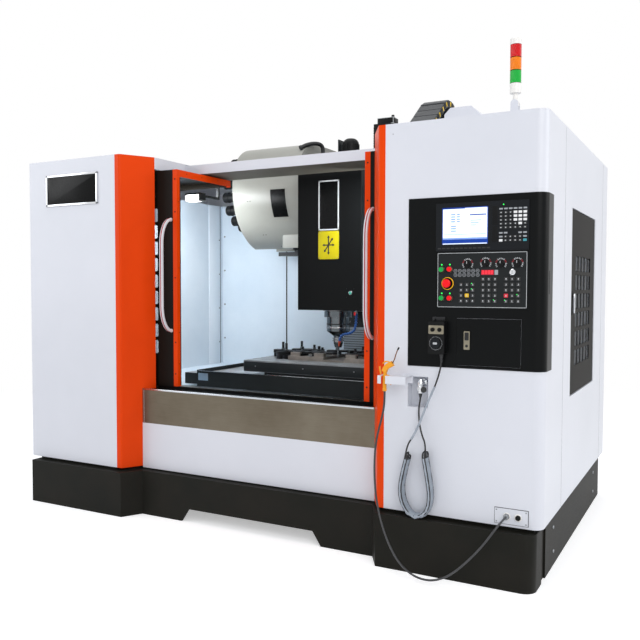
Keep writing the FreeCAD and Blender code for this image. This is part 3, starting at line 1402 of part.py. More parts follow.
def solid_feature(name, shape):
    """A piece made with a swept shape of its own."""
    feature = doc.addObject("Part::Feature", name + "_body")
    feature.Shape = shape
    feature.Placement = Placement()
    return piece(name, feature)


def make_cords():
    """The hand unit's cord with its plug and hank, and the air hose with its gun."""
    panel = -S.panel_proud
    hand_y = float(panel) - 20
    unit_bottom = float(S.unit_bottom)
    exit_x = float(S.unit_right) - 20
    upper = [
        (exit_x, hand_y, unit_bottom), (exit_x, hand_y, 1006), (2748, hand_y - 7, 958),
        (2734, hand_y - 13, 910), (2716, hand_y - 18, 865), (2697, hand_y - 22, 820),
        (2680, hand_y - 25, 775), (2664, hand_y - 27, 731), (2646, hand_y - 27, 690),
        (2623, hand_y - 25, 650), (2598, hand_y - 21, 612), (2598, hand_y - 21, 576),
    ]
    plug_bottom = float(S.plug_bottom)
    plug_x = float(S.plug_x)
    plug_y = float(S.plug_y)
    lower = [
        (plug_x, plug_y, plug_bottom), (plug_x, plug_y, 830), (plug_x - 1, plug_y - 13, 803),
        (plug_x + 2, plug_y - 27, 771), (plug_x + 7, plug_y - 35, 735),
        (plug_x + 15, plug_y - 39, 697), (plug_x + 26, plug_y - 41, 660),
        (plug_x + 41, plug_y - 40, 627), (plug_x + 41, plug_y - 40, 594),
    ]
    cord_radius = 4
    shapes = [tube("hand_cord", upper, cord_radius), tube("hand_cord_tail", lower, cord_radius)]
    solid_feature("hand_cord", Part.makeCompound(shapes))
    hank = doc.addObject("PartDesign::Body", "hank_form")
    sketch = sketch_on(hank, "hank_outline", "XZ", Size.of(8))
    draw_outline(sketch, [
        (2587, 576), (2564, 468), (2554, 411), (2557, 366), (2572, 322), (2600, 284), (2638, 264),
        (2678, 274), (2708, 300), (2724, 340), (2727, 385), (2720, 445), (2708, 512), (2696, 594),
        (2673, 594), (2685, 512), (2697, 440), (2703, 385), (2699, 347), (2688, 316), (2668, 296),
        (2642, 288), (2616, 302), (2594, 332), (2581, 372), (2578, 412), (2587, 468), (2609, 576),
    ])
    pad = hank.newObject("PartDesign::Pad", "hank_pad")
    pad.Profile = sketch
    pad.Length = 58
    hank.Tip = pad
    piece("cord_hank", hank)
    barrel = rod("plug_barrel", (S.plug_x, S.plug_y, S.plug_bottom), "+Z", S.plug_radius,
                 S.plug_top - S.plug_bottom)
    neck = rod("plug_neck", (S.plug_x, S.plug_y, S.plug_z), "+Y", S.plug_radius * 0.8,
               S.recess_depth - S.sheet * 5 - S.plug_y)
    piece("cord_plug", fuse("cord_plug_body", barrel, neck))
    gun_x = float(S.hook_slot_x)
    gun_y = float(S.gun_setback - S.hook_reach)
    grip_bottom = float(S.grip_bottom)
    port_x = float(S.port_hose_x)
    port_y = -float(S.port_proud) - float(S.port_collar)
    port_z = float(S.port_z)
    hose = [
        (gun_x, gun_y, grip_bottom), (gun_x, gun_y, 806), (gun_x - 16, gun_y + 6, 738),
        (gun_x - 40, gun_y + 13, 664), (gun_x - 56, gun_y + 18, 584), (gun_x - 60, gun_y + 18, 504),
        (gun_x - 56, gun_y + 14, 424), (gun_x - 44, gun_y + 6, 344), (gun_x - 20, gun_y - 8, 266),
        (gun_x + 14, gun_y - 26, 192), (gun_x + 58, gun_y - 46, 124), (gun_x + 112, gun_y - 62, 66),
        (gun_x + 180, gun_y - 72, 28), (gun_x + 256, gun_y - 74, 20), (gun_x + 324, gun_y - 72, 44),
        (gun_x + 380, gun_y - 68, 86), (gun_x + 432, gun_y - 66, 138),
        (gun_x + 480, gun_y - 66, 194), (port_x - 54, gun_y - 66, 244),
        (port_x - 28, gun_y - 62, 284), (port_x - 10, gun_y - 46, 312),
        (port_x, gun_y - 10, port_z), (port_x, port_y, port_z),
    ]
    solid_feature("air_hose", tube("air_hose", hose, 5))


def make_air_gun():
    """The air gun that hangs by its neck in the hook plate's slot."""
    x = S.hook_slot_x
    y = S.gun_setback - S.hook_reach
    seat = S.hook_top
    half = S.gun_body_half
    lug_half = S.gun_lug_half
    handle = rod("gun_handle", (x, y, S.grip_bottom), "+Z", S.grip_radius, seat - S.grip_bottom)
    shoulder = rod("gun_shoulder", (x, y, seat), "+Z", S.gun_collar_radius, S.gun_collar_height)
    body = box("gun_body", (x - S.gun_body_left, x + S.gun_body_right), (y - half, y + half),
               (seat + S.gun_body_low, seat + S.gun_body_high))
    lug = box("gun_lug", (x - S.gun_lug_left, x - S.gun_lug_inner), (y - lug_half, y + lug_half),
              (seat + S.gun_lug_low, seat + S.gun_lug_high))
    nozzle = rod("gun_nozzle", (x + S.nozzle_offset, y, seat + S.gun_lug_low), "+Z",
                 S.nozzle_radius, S.nozzle_length)
    piece("air_gun", fuse("air_gun_body", handle, shoulder, body, lug, nozzle))
    piece("gun_trigger", box("gun_trigger_body",
                             (x - S.trigger_left, x - S.trigger_left + S.trigger_thickness),
                             (y - lug_half, y + lug_half),
                             (seat + S.trigger_low, seat + S.gun_lug_low - S.trigger_gap)))


def make_coolant_nozzle():
    """The jointed coolant hose beside the spindle."""
    points = [
        (1882, 890, float(S.cover_bottom)), (1882, 890, 1186), (1873, 888, 1150),
        (1852, 886, 1117), (1822, 888, 1090), (1794, 896, 1068), (1774, 908, 1042),
    ]
    solid = tube("coolant_nozzle", points, 9)
    solid_feature("coolant_nozzle", solid)


make_base()
make_cabinets()
make_trims()
make_front()
make_roof()
make_liner()
make_doors()
make_structure()
make_saddle_and_table()
make_head()
make_changer()
make_cable_chain()
make_control_panel()
make_controls()
make_hand_unit()
make_hook()
make_side_door()
make_tower_light()
make_work_lamp()
make_cords()
make_air_gun()
make_coolant_nozzle()
doc.recompute()

# ----------------------------------------------------------------------------------------
# Check and write
# ----------------------------------------------------------------------------------------
for item in doc.Objects:
    if "Invalid" in item.State or "Error" in item.State:
        raise RuntimeError("%s failed: %s" % (item.Name, item.State))
for label, item in PIECES.items():
    if item.Shape.isNull() or not item.Shape.isValid():
        raise RuntimeError("%s has no valid shape" % label)
for label, item in PIECES.items():
    item.Shape.exportStep("parts/%s.step" % label)
print("%d pieces" % len(PIECES))
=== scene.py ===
"""Looks of the vertical machining centre: finishes, fittings, cords and the studio round it.

Sizes are millimetres in the machine's own axes: X runs right from its left side, Y runs back
from the front of the white cabinets and Z up from the floor. Each mesh is turned to the
model's frame, in metres from the middle of the footprint, when its piece is made.
"""
import logging
import math
from dataclasses import dataclass
from enum import Enum
from itertools import product
from typing import ClassVar, Iterable, Sequence

import bmesh
import bpy
from mathutils import Matrix, Vector


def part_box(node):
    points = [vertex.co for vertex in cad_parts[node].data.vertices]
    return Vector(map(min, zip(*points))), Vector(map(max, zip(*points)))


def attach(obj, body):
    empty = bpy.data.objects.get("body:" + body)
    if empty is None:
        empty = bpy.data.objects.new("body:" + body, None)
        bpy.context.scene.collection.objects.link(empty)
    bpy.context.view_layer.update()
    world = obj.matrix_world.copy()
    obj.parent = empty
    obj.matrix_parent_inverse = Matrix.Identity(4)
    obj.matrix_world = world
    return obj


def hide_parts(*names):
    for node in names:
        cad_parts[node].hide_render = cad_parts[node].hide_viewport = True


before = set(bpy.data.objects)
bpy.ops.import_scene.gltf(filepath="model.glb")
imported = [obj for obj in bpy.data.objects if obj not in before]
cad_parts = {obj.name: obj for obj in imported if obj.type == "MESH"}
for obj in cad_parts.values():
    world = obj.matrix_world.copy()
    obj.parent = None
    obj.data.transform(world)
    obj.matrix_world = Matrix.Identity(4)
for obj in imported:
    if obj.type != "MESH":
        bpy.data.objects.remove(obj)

LOG = logging.getLogger("machining_centre")
FOOTPRINT_MIDDLE = Vector((1611.5, 888.5, 0.0))
Span = tuple[float, float]
Point = tuple[float, float, float]
FRONT: Point = (0, -1, 0)
BACK: Point = (0, 1, 0)
LEFT: Point = (-1, 0, 0)
RIGHT: Point = (1, 0, 0)
UP: Point = (0, 0, 1)
DOWN: Point = (0, 0, -1)


# ---- Finishes ----
class Lay(Enum):
    """How the marks of a surface lie; the numbers stretch its noise along X, Y and Z."""

    EVEN = (1.0, 1.0, 1.0)
    BRUSHED_X = (0.02, 1.0, 1.0)
    BRUSHED_Z = (1.0, 1.0, 0.02)
    TURNED = (1.0, 1.0, 8.0)


@dataclass(frozen=True)
class Finish:
    """One real material and the way its surface was made.

    Attributes:
        name: What it is called in the workshop.
        shade: sRGB hex of the clean surface.
        drift: sRGB hex it drifts to in worn or dusty patches.
        rough: Roughness, 0 for a mirror and 1 for chalk.
        grain_mm: Size of its smallest marks.
        relief_mm: Height of those marks.
        patch_mm: Size of the patches in which its colour drifts.
        metal: 1 for bare metal.
        ior: Index of refraction of what isn't metal.
        coat: Strength of a clear coat.
        alpha: Share of light that the surface stops; under 1 it is see-through.
        glow: Light that it gives, for lamps and displays.
        lay: How its marks lie.
        amount: How far the colour drifts, 0 to 1.
        gleam: Strength of the reflection straight on; a dull paint or a matt mould has less.
    """

    name: str
    shade: str
    drift: str
    rough: float
    grain_mm: float = 2.0
    relief_mm: float = 0.02
    patch_mm: float = 240.0
    metal: float = 0.0
    ior: float = 1.5
    coat: float = 0.0
    alpha: float = 1.0
    glow: float = 0.0
    lay: Lay = Lay.EVEN
    amount: float = 0.5
    gleam: float = 0.5


# Sheet steel with polyester powder baked on: a fine orange peel and a soft wide highlight.
WHITE_POWDER = Finish("white_powder_coat", "#D8DAE1", "#CCCFD6", 0.36, 3, 0.012, 700, amount=0.6)
# The liner inside: cooler enamel, nearly white where the work light falls on it.
WHITE_SIDE = Finish("white_enamel_liner", "#D9E4ED", "#C3D2DF", 0.42, 4, 0.01, 500, amount=0.8)
# The corner sheets: the liner's enamel made lighter, painted light for their brighter face in the corner.
CORNER_SHEET_LIGHTER = Finish("white_enamel_painted_lighter", "#E6EEF5", "#D2DEE8", 0.42, 4, 0.01, 500,
                      amount=0.7)
# Strong orange and blacks of the same powder, satin and almost without glare.
ORANGE_POWDER = Finish("orange_satin_powder_coat", "#E54300", "#D43B00", 0.34, 3, 0.012, 500,
                       amount=0.6, gleam=0.12)
BLACK_POWDER = Finish("black_satin_powder_coat", "#0B0D0E", "#070808", 0.34, 2.5, 0.012, 300,
                      amount=0.6, gleam=0.1)
BROWN_BLACK = Finish("brown_black_powder_coat", "#120F0B", "#0B0907", 0.36, 2.5, 0.012, 400,
                     amount=0.6, gleam=0.1)
# Coarse textured paint on thick plate: dull, slightly greenish, paler where it is dusty.
BASE_PAINT = Finish("base_textured_paint", "#141511", "#201D18", 0.55, 3, 0.06, 260, amount=0.8,
                    gleam=0.12)
TRAY_PAINT = Finish("slate_textured_paint", "#212526", "#181B1C", 0.5, 3, 0.05, 200, amount=0.7,
                    gleam=0.2)
# Sheet ground with a belt along its length: fine lines that stretch every reflection.
# Its dark brown-grey, darker than bare stainless, is painted reflection of dark, warm surroundings.
BRUSHED_SHEET = Finish("brushed_stainless_painted_reflection", "#777063", "#5C5346", 0.34, 1.6, 0.012, 420, 1,
                       lay=Lay.BRUSHED_X, amount=0.8)
BRUSHED_SLAT = Finish("brushed_way_cover_steel", "#9AA3AA", "#7C858C", 0.34, 1.5, 0.012, 200, 0.35,
                      lay=Lay.BRUSHED_X, amount=0.7)
POLISHED_LIP = Finish("polished_steel_lip", "#C9CED3", "#A9AEB4", 0.2, 2, 0.01, 160, 1,
                      lay=Lay.BRUSHED_X)
# Cast iron that was ground flat: grey, with the grinder's short marks.
GROUND_IRON = Finish("ground_cast_iron", "#94979A", "#6D7073", 0.42, 1.5, 0.02, 120, 0.45,
                     lay=Lay.BRUSHED_X, amount=0.8)
# Sheet that chips have scoured: pale, blotchy and only half shiny.
SCOURED_SHEET = Finish("scoured_tray_sheet", "#B3B5B8", "#7A7C80", 0.4, 2, 0.03, 90, 0.3,
                       amount=0.9)
# Cast sides under dark slate paint, and rough castings under grey paint.
IRON_SIDE = Finish("painted_iron_side", "#25292B", "#1B1E20", 0.45, 2.5, 0.03, 150, amount=0.6,
                   gleam=0.2)
CAST_PAINT = Finish("painted_casting", "#B9BCBC", "#A3A7A8", 0.5, 6, 0.12, 200, amount=0.6)
# Bare and plated metals: dark turned steel, oxide black, mirror chrome, satin aluminium, zinc.
TURNED_STEEL = Finish("turned_spindle_steel", "#6C7276", "#4B5155", 0.22, 1.2, 0.01, 60, 1,
                      lay=Lay.TURNED, amount=0.8)
TOOL_STEEL = Finish("ground_tool_steel", "#9A9C9E", "#6F7173", 0.25, 1, 0.01, 30, 1)
BLACK_OXIDE = Finish("black_oxide_steel", "#1D1E20", "#2E2F31", 0.42, 1.5, 0.03, 40, 0.6, amount=0.7)
CHROME = Finish("chrome_plate", "#E3E5E8", "#C6C9CD", 0.1, 2, 0.004, 120, 1)
SATIN_ALUMINIUM = Finish("satin_anodised_aluminium", "#B9BCC0", "#A0A3A8", 0.3, 1.2, 0.01, 90, 1,
                         lay=Lay.BRUSHED_Z)
ZINC_SCREW = Finish("zinc_plated_screw", "#8D9093", "#6C6F72", 0.35, 1, 0.02, 20, 1)
BLACK_SCREW = Finish("black_screw", "#101112", "#1C1D1E", 0.4, 1, 0.02, 20, 0.5)
# Moulded plastics: ABS and polyamide straight from the mould, with a fine spark texture.
BLACK_ABS = Finish("moulded_black_abs", "#0E0F10", "#090A0B", 0.42, 1.2, 0.02, 60, gleam=0.15)
DARK_BEZEL = Finish("moulded_charcoal_abs", "#15181C", "#0F1114", 0.4, 1.2, 0.015, 90, gleam=0.15)
PANEL_FOIL = Finish("matt_charcoal_overlay", "#1E2122", "#181A1C", 0.5, 1, 0.008, 120, gleam=0.15)
# The grey of the key caps also serves as painted shade in the tower's hinge gaps.
GREY_KEY_AND_GAP_SHADE = Finish("grey_key_cap_and_gap_shade", "#9FA3A8", "#8A8E93", 0.42, 1, 0.01, 12)
WHITE_KEY = Finish("white_key_cap", "#E9EAEA", "#D5D6D6", 0.42, 1, 0.01, 12)
BLACK_KEY = Finish("black_key_cap", "#0F1012", "#1B1C1E", 0.38, 1, 0.01, 12)
TEAL_KEY = Finish("teal_key_cap", "#3F9AA6", "#2F828E", 0.42, 1, 0.01, 12)
YELLOW_KEY = Finish("yellow_key_cap", "#E6B913", "#CDA20C", 0.4, 1, 0.01, 12)
RED_KEY = Finish("red_key_cap", "#D8283A", "#BE1E2F", 0.38, 1, 0.01, 12)
# Through-coloured plastics in strong colours with a small glow: painted light, as none of them is a lamp.
RED_PLASTIC = Finish("moulded_red_plastic", "#E8141C", "#D00F16", 0.3, 1, 0.006, 20, gleam=0.2,
                     glow=0.22)
YELLOW_PLASTIC = Finish("moulded_yellow_plastic", "#F5B80A", "#E0A406", 0.34, 1, 0.01, 20,
                        gleam=0.2, glow=0.15)
GREEN_PLASTIC = Finish("moulded_green_plastic", "#17A045", "#128838", 0.3, 1, 0.008, 20,
                       gleam=0.2, glow=0.12)
AMBER_NYLON = Finish("glass_filled_amber_nylon", "#EFA008", "#D98B04", 0.42, 1.4, 0.03, 30)
BLUE_ACETAL = Finish("moulded_blue_acetal", "#1D4F93", "#163F78", 0.32, 1, 0.01, 20)
ORANGE_ACETAL = Finish("moulded_orange_acetal", "#C8431C", "#AC3714", 0.34, 1, 0.01, 20)
# Rubber sheaths, dull, and the nylon of the cable carrier with its yellow clips.
BLACK_RUBBER = Finish("black_rubber_sheath", "#1B1C1E", "#111214", 0.55, 1.2, 0.02, 60)
HOSE_RUBBER = Finish("grey_black_rubber_hose", "#2A2B2E", "#1C1D1F", 0.42, 1.2, 0.02, 60, coat=0.2)
CHAIN_NYLON = Finish("glass_filled_black_nylon", "#22262B", "#181B1F", 0.45, 1.5, 0.03, 60)
CHAIN_YELLOW = Finish("yellow_chain_clip", "#E9C21A", "#D2AC12", 0.42, 1, 0.01, 20)
# Warm white of the magazine, given a mid grey: painted shade, for the white cover sits in shade; and white of
# the small mouldings.
MAGAZINE_WHITE_SHADED = Finish("warm_white_coat_painted_in_shade", "#9C9C95", "#8C8C84", 0.32, 3, 0.012, 350,
                        amount=0.6, gleam=0.3)
LAMP_WHITE = Finish("white_polycarbonate", "#ECEAE6", "#DCDAD5", 0.36, 1.5, 0.01, 40)
# Nylon over a steel core, milky white with a soft shine.
HANDLE_WHITE = Finish("white_nylon_sleeve", "#D5D8DC", "#BFC3C8", 0.28, 1.4, 0.01, 60)
# Labels and prints: flat ink and foil, and a pale blue plate.
LABEL_YELLOW = Finish("printed_yellow_foil", "#B9AC14", "#AB9E10", 0.42, 1.5, 0.006, 60, gleam=0.15)
PRINT_BLACK = Finish("black_screen_print", "#161616", "#202020", 0.5, 1, 0.004, 20)
PRINT_WHITE = Finish("white_screen_print", "#C9CCCE", "#B6B9BB", 0.5, 1, 0.004, 20)
PRINT_RED = Finish("red_screen_print", "#A81E2A", "#8E1822", 0.5, 1, 0.004, 20)
PRINT_BLUE = Finish("pale_blue_steel_plate", "#8FA3B5", "#7A8E9F", 0.4, 1.5, 0.01, 30, 0.5)
# Closed foam: the dead black of seams and seals. The same black is also painted shade in gaps and recesses:
# round the port plate, under the way cover's ribs, at the spindle nose and in the panel's grip slot.
SEAL_BLACK_AND_GAP_SHADE = Finish("black_seal_and_painted_gap_shade", "#0B0B0C", "#141415", 0.75, 1.5, 0.05, 40)
# The doors' small top panes: opaque plates in a milky pale blue, painted light that stands for the lit work
# area behind the glass.
LIT_VIEW_PANE = Finish("pane_painted_with_lit_view", "#B4C4D2", "#98A9B8", 0.16, 8, 0, 200, gleam=0.4)
# Float glass laminated with a light grey film: nearly clear, with a hard reflection.
WINDOW_GLASS = Finish("grey_laminated_glass", "#AEB8BC", "#9EA9AE", 0.05, 8, 0, 300, alpha=0.34)
# Matt black of the side door, where the eye meets it edge-on and its sheen has to stay low.
SIDE_BLACK = Finish("black_matt_door_paint", "#14120F", "#0C0B09", 0.42, 2.5, 0.012, 300,
                    amount=0.6, gleam=0.02)
# Smoked sheet over a black frame: it shows the bay behind it only faintly.
SIDE_PANE = Finish("smoked_side_pane", "#56606C", "#414A56", 0.1, 8, 0, 200, alpha=0.22, gleam=0.12)
# Painted shade under the roof's front beam: a dull taupe plate that stands for the shade on the white beam's
# underside.
BEAM_SHADE_PAINT = Finish("painted_beam_shade", "#6E6A60", "#57534A", 0.6, 3, 0.02, 220, gleam=0.2)
# Fixture blocks are ground and then worn to a warm grey.
WORN_STEEL = Finish("worn_fixture_steel", "#8E8780", "#5F5953", 0.4, 2, 0.03, 60, 0.4, amount=0.9)
# Smoked acrylic over black, and thin clear film whose creases catch the light.
DARK_GLASS = Finish("smoked_acrylic", "#070808", "#0C0D0E", 0.3, 5, 0, 90, gleam=0.12)
CLEAR_FILM = Finish("crumpled_clear_film", "#C6D0DC", "#8E9AA8", 0.14, 9, 1.6, 40, alpha=0.6)
# What gives light: the display, digits, diodes, the lamp and small lit lenses.
SCREEN_WHITE = Finish("lit_display_white", "#DCE7FB", "#C9D8F6", 0.3, 6, 0, 60, gleam=0.1, glow=0.62)
SCREEN_BLUE = Finish("lit_display_blue", "#1C3F96", "#163482", 0.3, 6, 0, 60, gleam=0.1, glow=0.35)
SCREEN_PALE = Finish("lit_display_pale_blue", "#7F9DDC", "#6C8BD0", 0.3, 6, 0, 60, gleam=0.1, glow=0.4)
LED_RED = Finish("lit_red_digits", "#FF2B3C", "#E81F30", 0.3, 3, 0, 20, glow=1)
LED_GREEN = Finish("lit_green_diode", "#2BFF5A", "#1FE84C", 0.3, 3, 0, 20, glow=1.2)
TUBE_LIGHT = Finish("lit_lamp_cover", "#FFFFFF", "#F4FAFF", 0.4, 6, 0, 60, glow=6)
TEAL_LENS = Finish("lit_teal_lens", "#2FA08A", "#258C78", 0.2, 3, 0, 20, glow=0.25)
RED_FILTER = Finish("dark_red_filter", "#A8142A", "#8E0F22", 0.2, 3, 0, 20, glow=0.5)
# Bare plates and tubes: nickel etched to a warm dull grey, and a brown drawn copper tube.
NICKEL_PLATE = Finish("etched_nickel_plate", "#8C8676", "#736D5F", 0.35, 1.5, 0.01, 30, 1)
COPPER_TUBE = Finish("drawn_copper_tube", "#7A5238", "#5E3E2A", 0.35, 1, 0.01, 30, 1)
# The signal tower's ribbed lenses, glossy and deep in colour though unlit; their faint glow is painted light.
LENS_RED = Finish("red_lens", "#C80812", "#A8040C", 0.16, 3, 0.2, 30, gleam=0.3, glow=0.12,
                  lay=Lay.TURNED)
LENS_AMBER = Finish("amber_lens", "#E67A04", "#CC6A00", 0.16, 3, 0.2, 30, gleam=0.3, glow=0.12,
                    lay=Lay.TURNED)
LENS_GREEN = Finish("green_lens", "#0CA83A", "#088C2E", 0.16, 3, 0.2, 30, gleam=0.3, glow=0.12,
                    lay=Lay.TURNED)


def linear(code: str) -> tuple[float, float, float, float]:
    """Turn an sRGB hex colour into the linear values that a shader takes.

    Args:
        code: A colour such as "#1D4F93".

    Returns:
        Red, green, blue and an alpha of 1.
    """
    parts = [int(code[i:i + 2], 16) / 255 for i in (1, 3, 5)]
    red, green, blue = (c / 12.92 if c <= 0.04045 else ((c + 0.055) / 1.055) ** 2.4 for c in parts)
    return red, green, blue, 1.0


def add_node(tree: bpy.types.NodeTree, kind: str, settings: dict | None = None,
             links: dict | None = None) -> bpy.types.Node:
    """Add a node with its settings and links.

    Args:
        tree: The node tree.
        kind: The node's type name.
        settings: Attributes by name, and values of input sockets by name or number.
        links: Output sockets to link, by the name or number of this node's input.

    Returns:
        The new node.
    """
    node = tree.nodes.new(kind)
    for key, value in (settings or {}).items():
        if isinstance(key, str) and hasattr(node, key):
            setattr(node, key, value)
        else:
            node.inputs[key].default_value = value
    for key, source in (links or {}).items():
        tree.links.new(source, node.inputs[key])
    return node


class Paintshop:
    """Makes each finish's material once and hands it out."""

    def __init__(self) -> None:
        """Start with no material made."""
        self.made: dict[str, bpy.types.Material] = {}

    def material(self, finish: Finish) -> bpy.types.Material:
        """The material of a finish: drifting colour, uneven gloss and a relief of its marks.

        Args:
            finish: The finish.

        Returns:
            Its material.
        """
        if finish.name in self.made:
            return self.made[finish.name]
        material = bpy.data.materials.new(finish.name)
        material.use_nodes = True
        tree = material.node_tree
        tree.nodes.clear()
        where = add_node(tree, "ShaderNodeTexCoord").outputs["Object"]
        lying = add_node(tree, "ShaderNodeMapping", {"Scale": finish.lay.value}, {"Vector": where})
        marks = add_node(tree, "ShaderNodeTexNoise",
                         {"Scale": 1000 / finish.grain_mm, "Detail": 3.0, "Roughness": 0.55},
                         {"Vector": lying.outputs["Vector"]})
        patches = add_node(tree, "ShaderNodeTexNoise",
                           {"Scale": 1000 / finish.patch_mm, "Detail": 4.0, "Roughness": 0.6},
                           {"Vector": where})
        mixed = add_node(tree, "ShaderNodeMath", {"operation": "MULTIPLY_ADD", 1: 0.35},
                         {0: marks.outputs["Fac"], 2: patches.outputs["Fac"]})
        share = add_node(tree, "ShaderNodeMapRange",
                         {"From Min": 0.45, "From Max": 0.95, "To Max": finish.amount},
                         {"Value": mixed.outputs["Value"]})
        colour = add_node(tree, "ShaderNodeMix", {"data_type": "RGBA", 6: linear(finish.shade),
                                                  7: linear(finish.drift)},
                          {0: share.outputs["Result"]})
        spread = min(0.06, finish.rough * 0.25)
        gloss = add_node(tree, "ShaderNodeMapRange",
                         {"From Min": 0.3, "From Max": 0.7, "To Min": finish.rough - spread,
                          "To Max": finish.rough + spread}, {"Value": marks.outputs["Fac"]})
        shader = add_node(tree, "ShaderNodeBsdfPrincipled",
                          {"Metallic": finish.metal, "IOR": finish.ior,
                           "Coat Weight": finish.coat, "Coat Roughness": 0.08,
                           "Specular IOR Level": finish.gleam,
                           "Alpha": finish.alpha},
                          {"Base Color": colour.outputs[2], "Roughness": gloss.outputs["Result"]})
        if finish.glow:
            tree.links.new(colour.outputs[2], shader.inputs["Emission Color"])
            shader.inputs["Emission Strength"].default_value = finish.glow
        if finish.relief_mm:
            bump = add_node(tree, "ShaderNodeBump",
                            {"Strength": 0.6, "Distance": finish.relief_mm / 1000},
                            {"Height": marks.outputs["Fac"]})
            tree.links.new(bump.outputs["Normal"], shader.inputs["Normal"])
        add_node(tree, "ShaderNodeOutputMaterial", None, {"Surface": shader.outputs["BSDF"]})
        material.diffuse_color = linear(finish.shade)
        self.made[finish.name] = material
        return material


# ---- Forms ----
def in_frame(point: Sequence[float]) -> Vector:
    """A point in machine millimetres as a point of the model's frame in metres."""
    return (Vector(point) - FOOTPRINT_MIDDLE) / 1000


def machine_box(node: str) -> tuple[Vector, Vector]:
    """A solid node's lowest and highest corner, in machine millimetres."""
    low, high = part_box(node)
    return low * 1000 + FOOTPRINT_MIDDLE, high * 1000 + FOOTPRINT_MIDDLE


class Form:
    """A mesh that grows by blocks, turned bodies, plates and sweeps, in machine millimetres."""

    def __init__(self) -> None:
        """Start empty."""
        self.mesh = bmesh.new()

    def block(self, x: Span, y: Span, z: Span, edge: float = 0.0, steps: int = 2) -> "Form":
        """Add a block with its edges rounded.

        Args:
            x: Its ends in X.
            y: Its ends in Y.
            z: Its ends in Z.
            edge: The rounding of its edges.
            steps: Faces across each rounding.

        Returns:
            This form.
        """
        corners = [self.mesh.verts.new((x[i], y[j], z[k])) for i in (0, 1) for j in (0, 1)
                   for k in (0, 1)]
        faces = [self.mesh.faces.new([corners[i] for i in ring]) for ring in
                 ((0, 1, 3, 2), (4, 6, 7, 5), (0, 4, 5, 1), (2, 3, 7, 6), (0, 2, 6, 4), (1, 5, 7, 3))]
        if edge:
            self._bevel(faces, edge, steps)
        return self

    def _bevel(self, faces: Iterable[bmesh.types.BMFace], edge: float, steps: int) -> None:
        """Round all edges of some faces.

        Args:
            faces: The faces.
            edge: Radius of the rounding.
            steps: Facets on it.
        """
        edges = list({e for face in faces for e in face.edges})
        bmesh.ops.bevel(self.mesh, geom=edges, offset=edge, segments=steps, profile=0.5,
                        affect="EDGES", clamp_overlap=True)

    def turned(self, where: Point, way: Point, profile: Sequence[tuple[float, float]],
               steps: int = 40) -> "Form":
        """Add a turned body.

        Args:
            where: The start of its axis.
            way: The direction of its axis.
            profile: Pairs of radius and distance along the axis; a radius of 0 closes an end.
            steps: Faces round it.

        Returns:
            This form.
        """
        axis = Vector(way).normalized()
        side = axis.orthogonal().normalized()
        other = axis.cross(side)
        start = Vector(where)
        rings = []
        for radius, height in profile:
            centre = start + axis * height
            if radius < 1e-6:
                rings.append([self.mesh.verts.new(centre)])
                continue
            rings.append([self.mesh.verts.new(
                centre + (side * math.cos(a) + other * math.sin(a)) * radius)
                for a in (2 * math.pi * i / steps for i in range(steps))])
        self.skin(rings)
        return self

    def skin(self, rings: list[list[bmesh.types.BMVert]], closed: bool = True) -> None:
        """Join rings of points by faces.

        Args:
            rings: The rings, each of as many points as the next or of one.
            closed: Whether an end ring gets a face of its own.
        """
        for below, above in zip(rings, rings[1:]):
            count = max(len(below), len(above))
            for i in range(count):
                j = (i + 1) % count
                if len(below) == 1:
                    self.mesh.faces.new((below[0], above[i], above[j]))
                elif len(above) == 1:
                    self.mesh.faces.new((below[i], above[0], below[j]))
                else:
                    self.mesh.faces.new((below[i], above[i], above[j], below[j]))
        for ring in (rings[0], rings[-1][::-1]):
            if closed and len(ring) > 2:
                self.mesh.faces.new(ring)

    def plate(self, outline: Sequence[tuple[float, float]], y: Span, edge: float = 0.0) -> "Form":
        """Add a plate with an outline in X and Z, between two values of Y.

        Args:
            outline: Its points.
            y: Where its front and back lie.
            edge: The rounding of its edges.

        Returns:
            This form.
        """
        front = [self.mesh.verts.new((u, y[0], v)) for u, v in outline]
        back = [self.mesh.verts.new((u, y[1], v)) for u, v in outline]
        faces = [self.mesh.faces.new(front), self.mesh.faces.new(back[::-1])]
        for i in range(len(outline)):
            j = (i + 1) % len(outline)
            faces.append(self.mesh.faces.new((front[j], front[i], back[i], back[j])))
        if edge:
            self._bevel(faces, edge, 2)
        return self

    def sweep(self, path: Sequence[Sequence[float]], section: Sequence[tuple[float, float]],
              upright: Point = (1.0, 0.0, 0.0)) -> "Form":
        """Add a bar that follows a path.

        Args:
            path: The points of its centreline.
            section: Its outline, as offsets along `upright` and across it.
            upright: A direction that the section keeps.

        Returns:
            This form.
        """
        points = [Vector(p) for p in path]
        keep = Vector(upright).normalized()
        rings = []
        for i, point in enumerate(points):
            along = (points[min(i + 1, len(points) - 1)] - points[max(i - 1, 0)]).normalized()
            first = (keep - along * keep.dot(along)).normalized()
            second = along.cross(first)
            rings.append([self.mesh.verts.new(point + first * u + second * v) for u, v in section])
        self.skin(rings)
        return self

    def join(self, other: "Form", move: Matrix | None = None) -> "Form":
        """Take over another form's mesh, moved if asked.

        Args:
            other: The form, which is used up.
            move: A matrix that puts it in its place.

        Returns:
            This form.
        """
        if move is not None:
            bmesh.ops.transform(other.mesh, matrix=move, verts=other.mesh.verts)
        data = bpy.data.meshes.new("joined")
        other.mesh.to_mesh(data)
        other.mesh.free()
        self.mesh.from_mesh(data)
        bpy.data.meshes.remove(data)
        return self

    def rod(self, start: Point, end: Point, radius: float, steps: int = 20) -> "Form":
        """Add a straight round bar between two points."""
        way = Vector(end) - Vector(start)
        return self.turned(start, tuple(way), [(radius, 0.0), (radius, way.length)], steps)

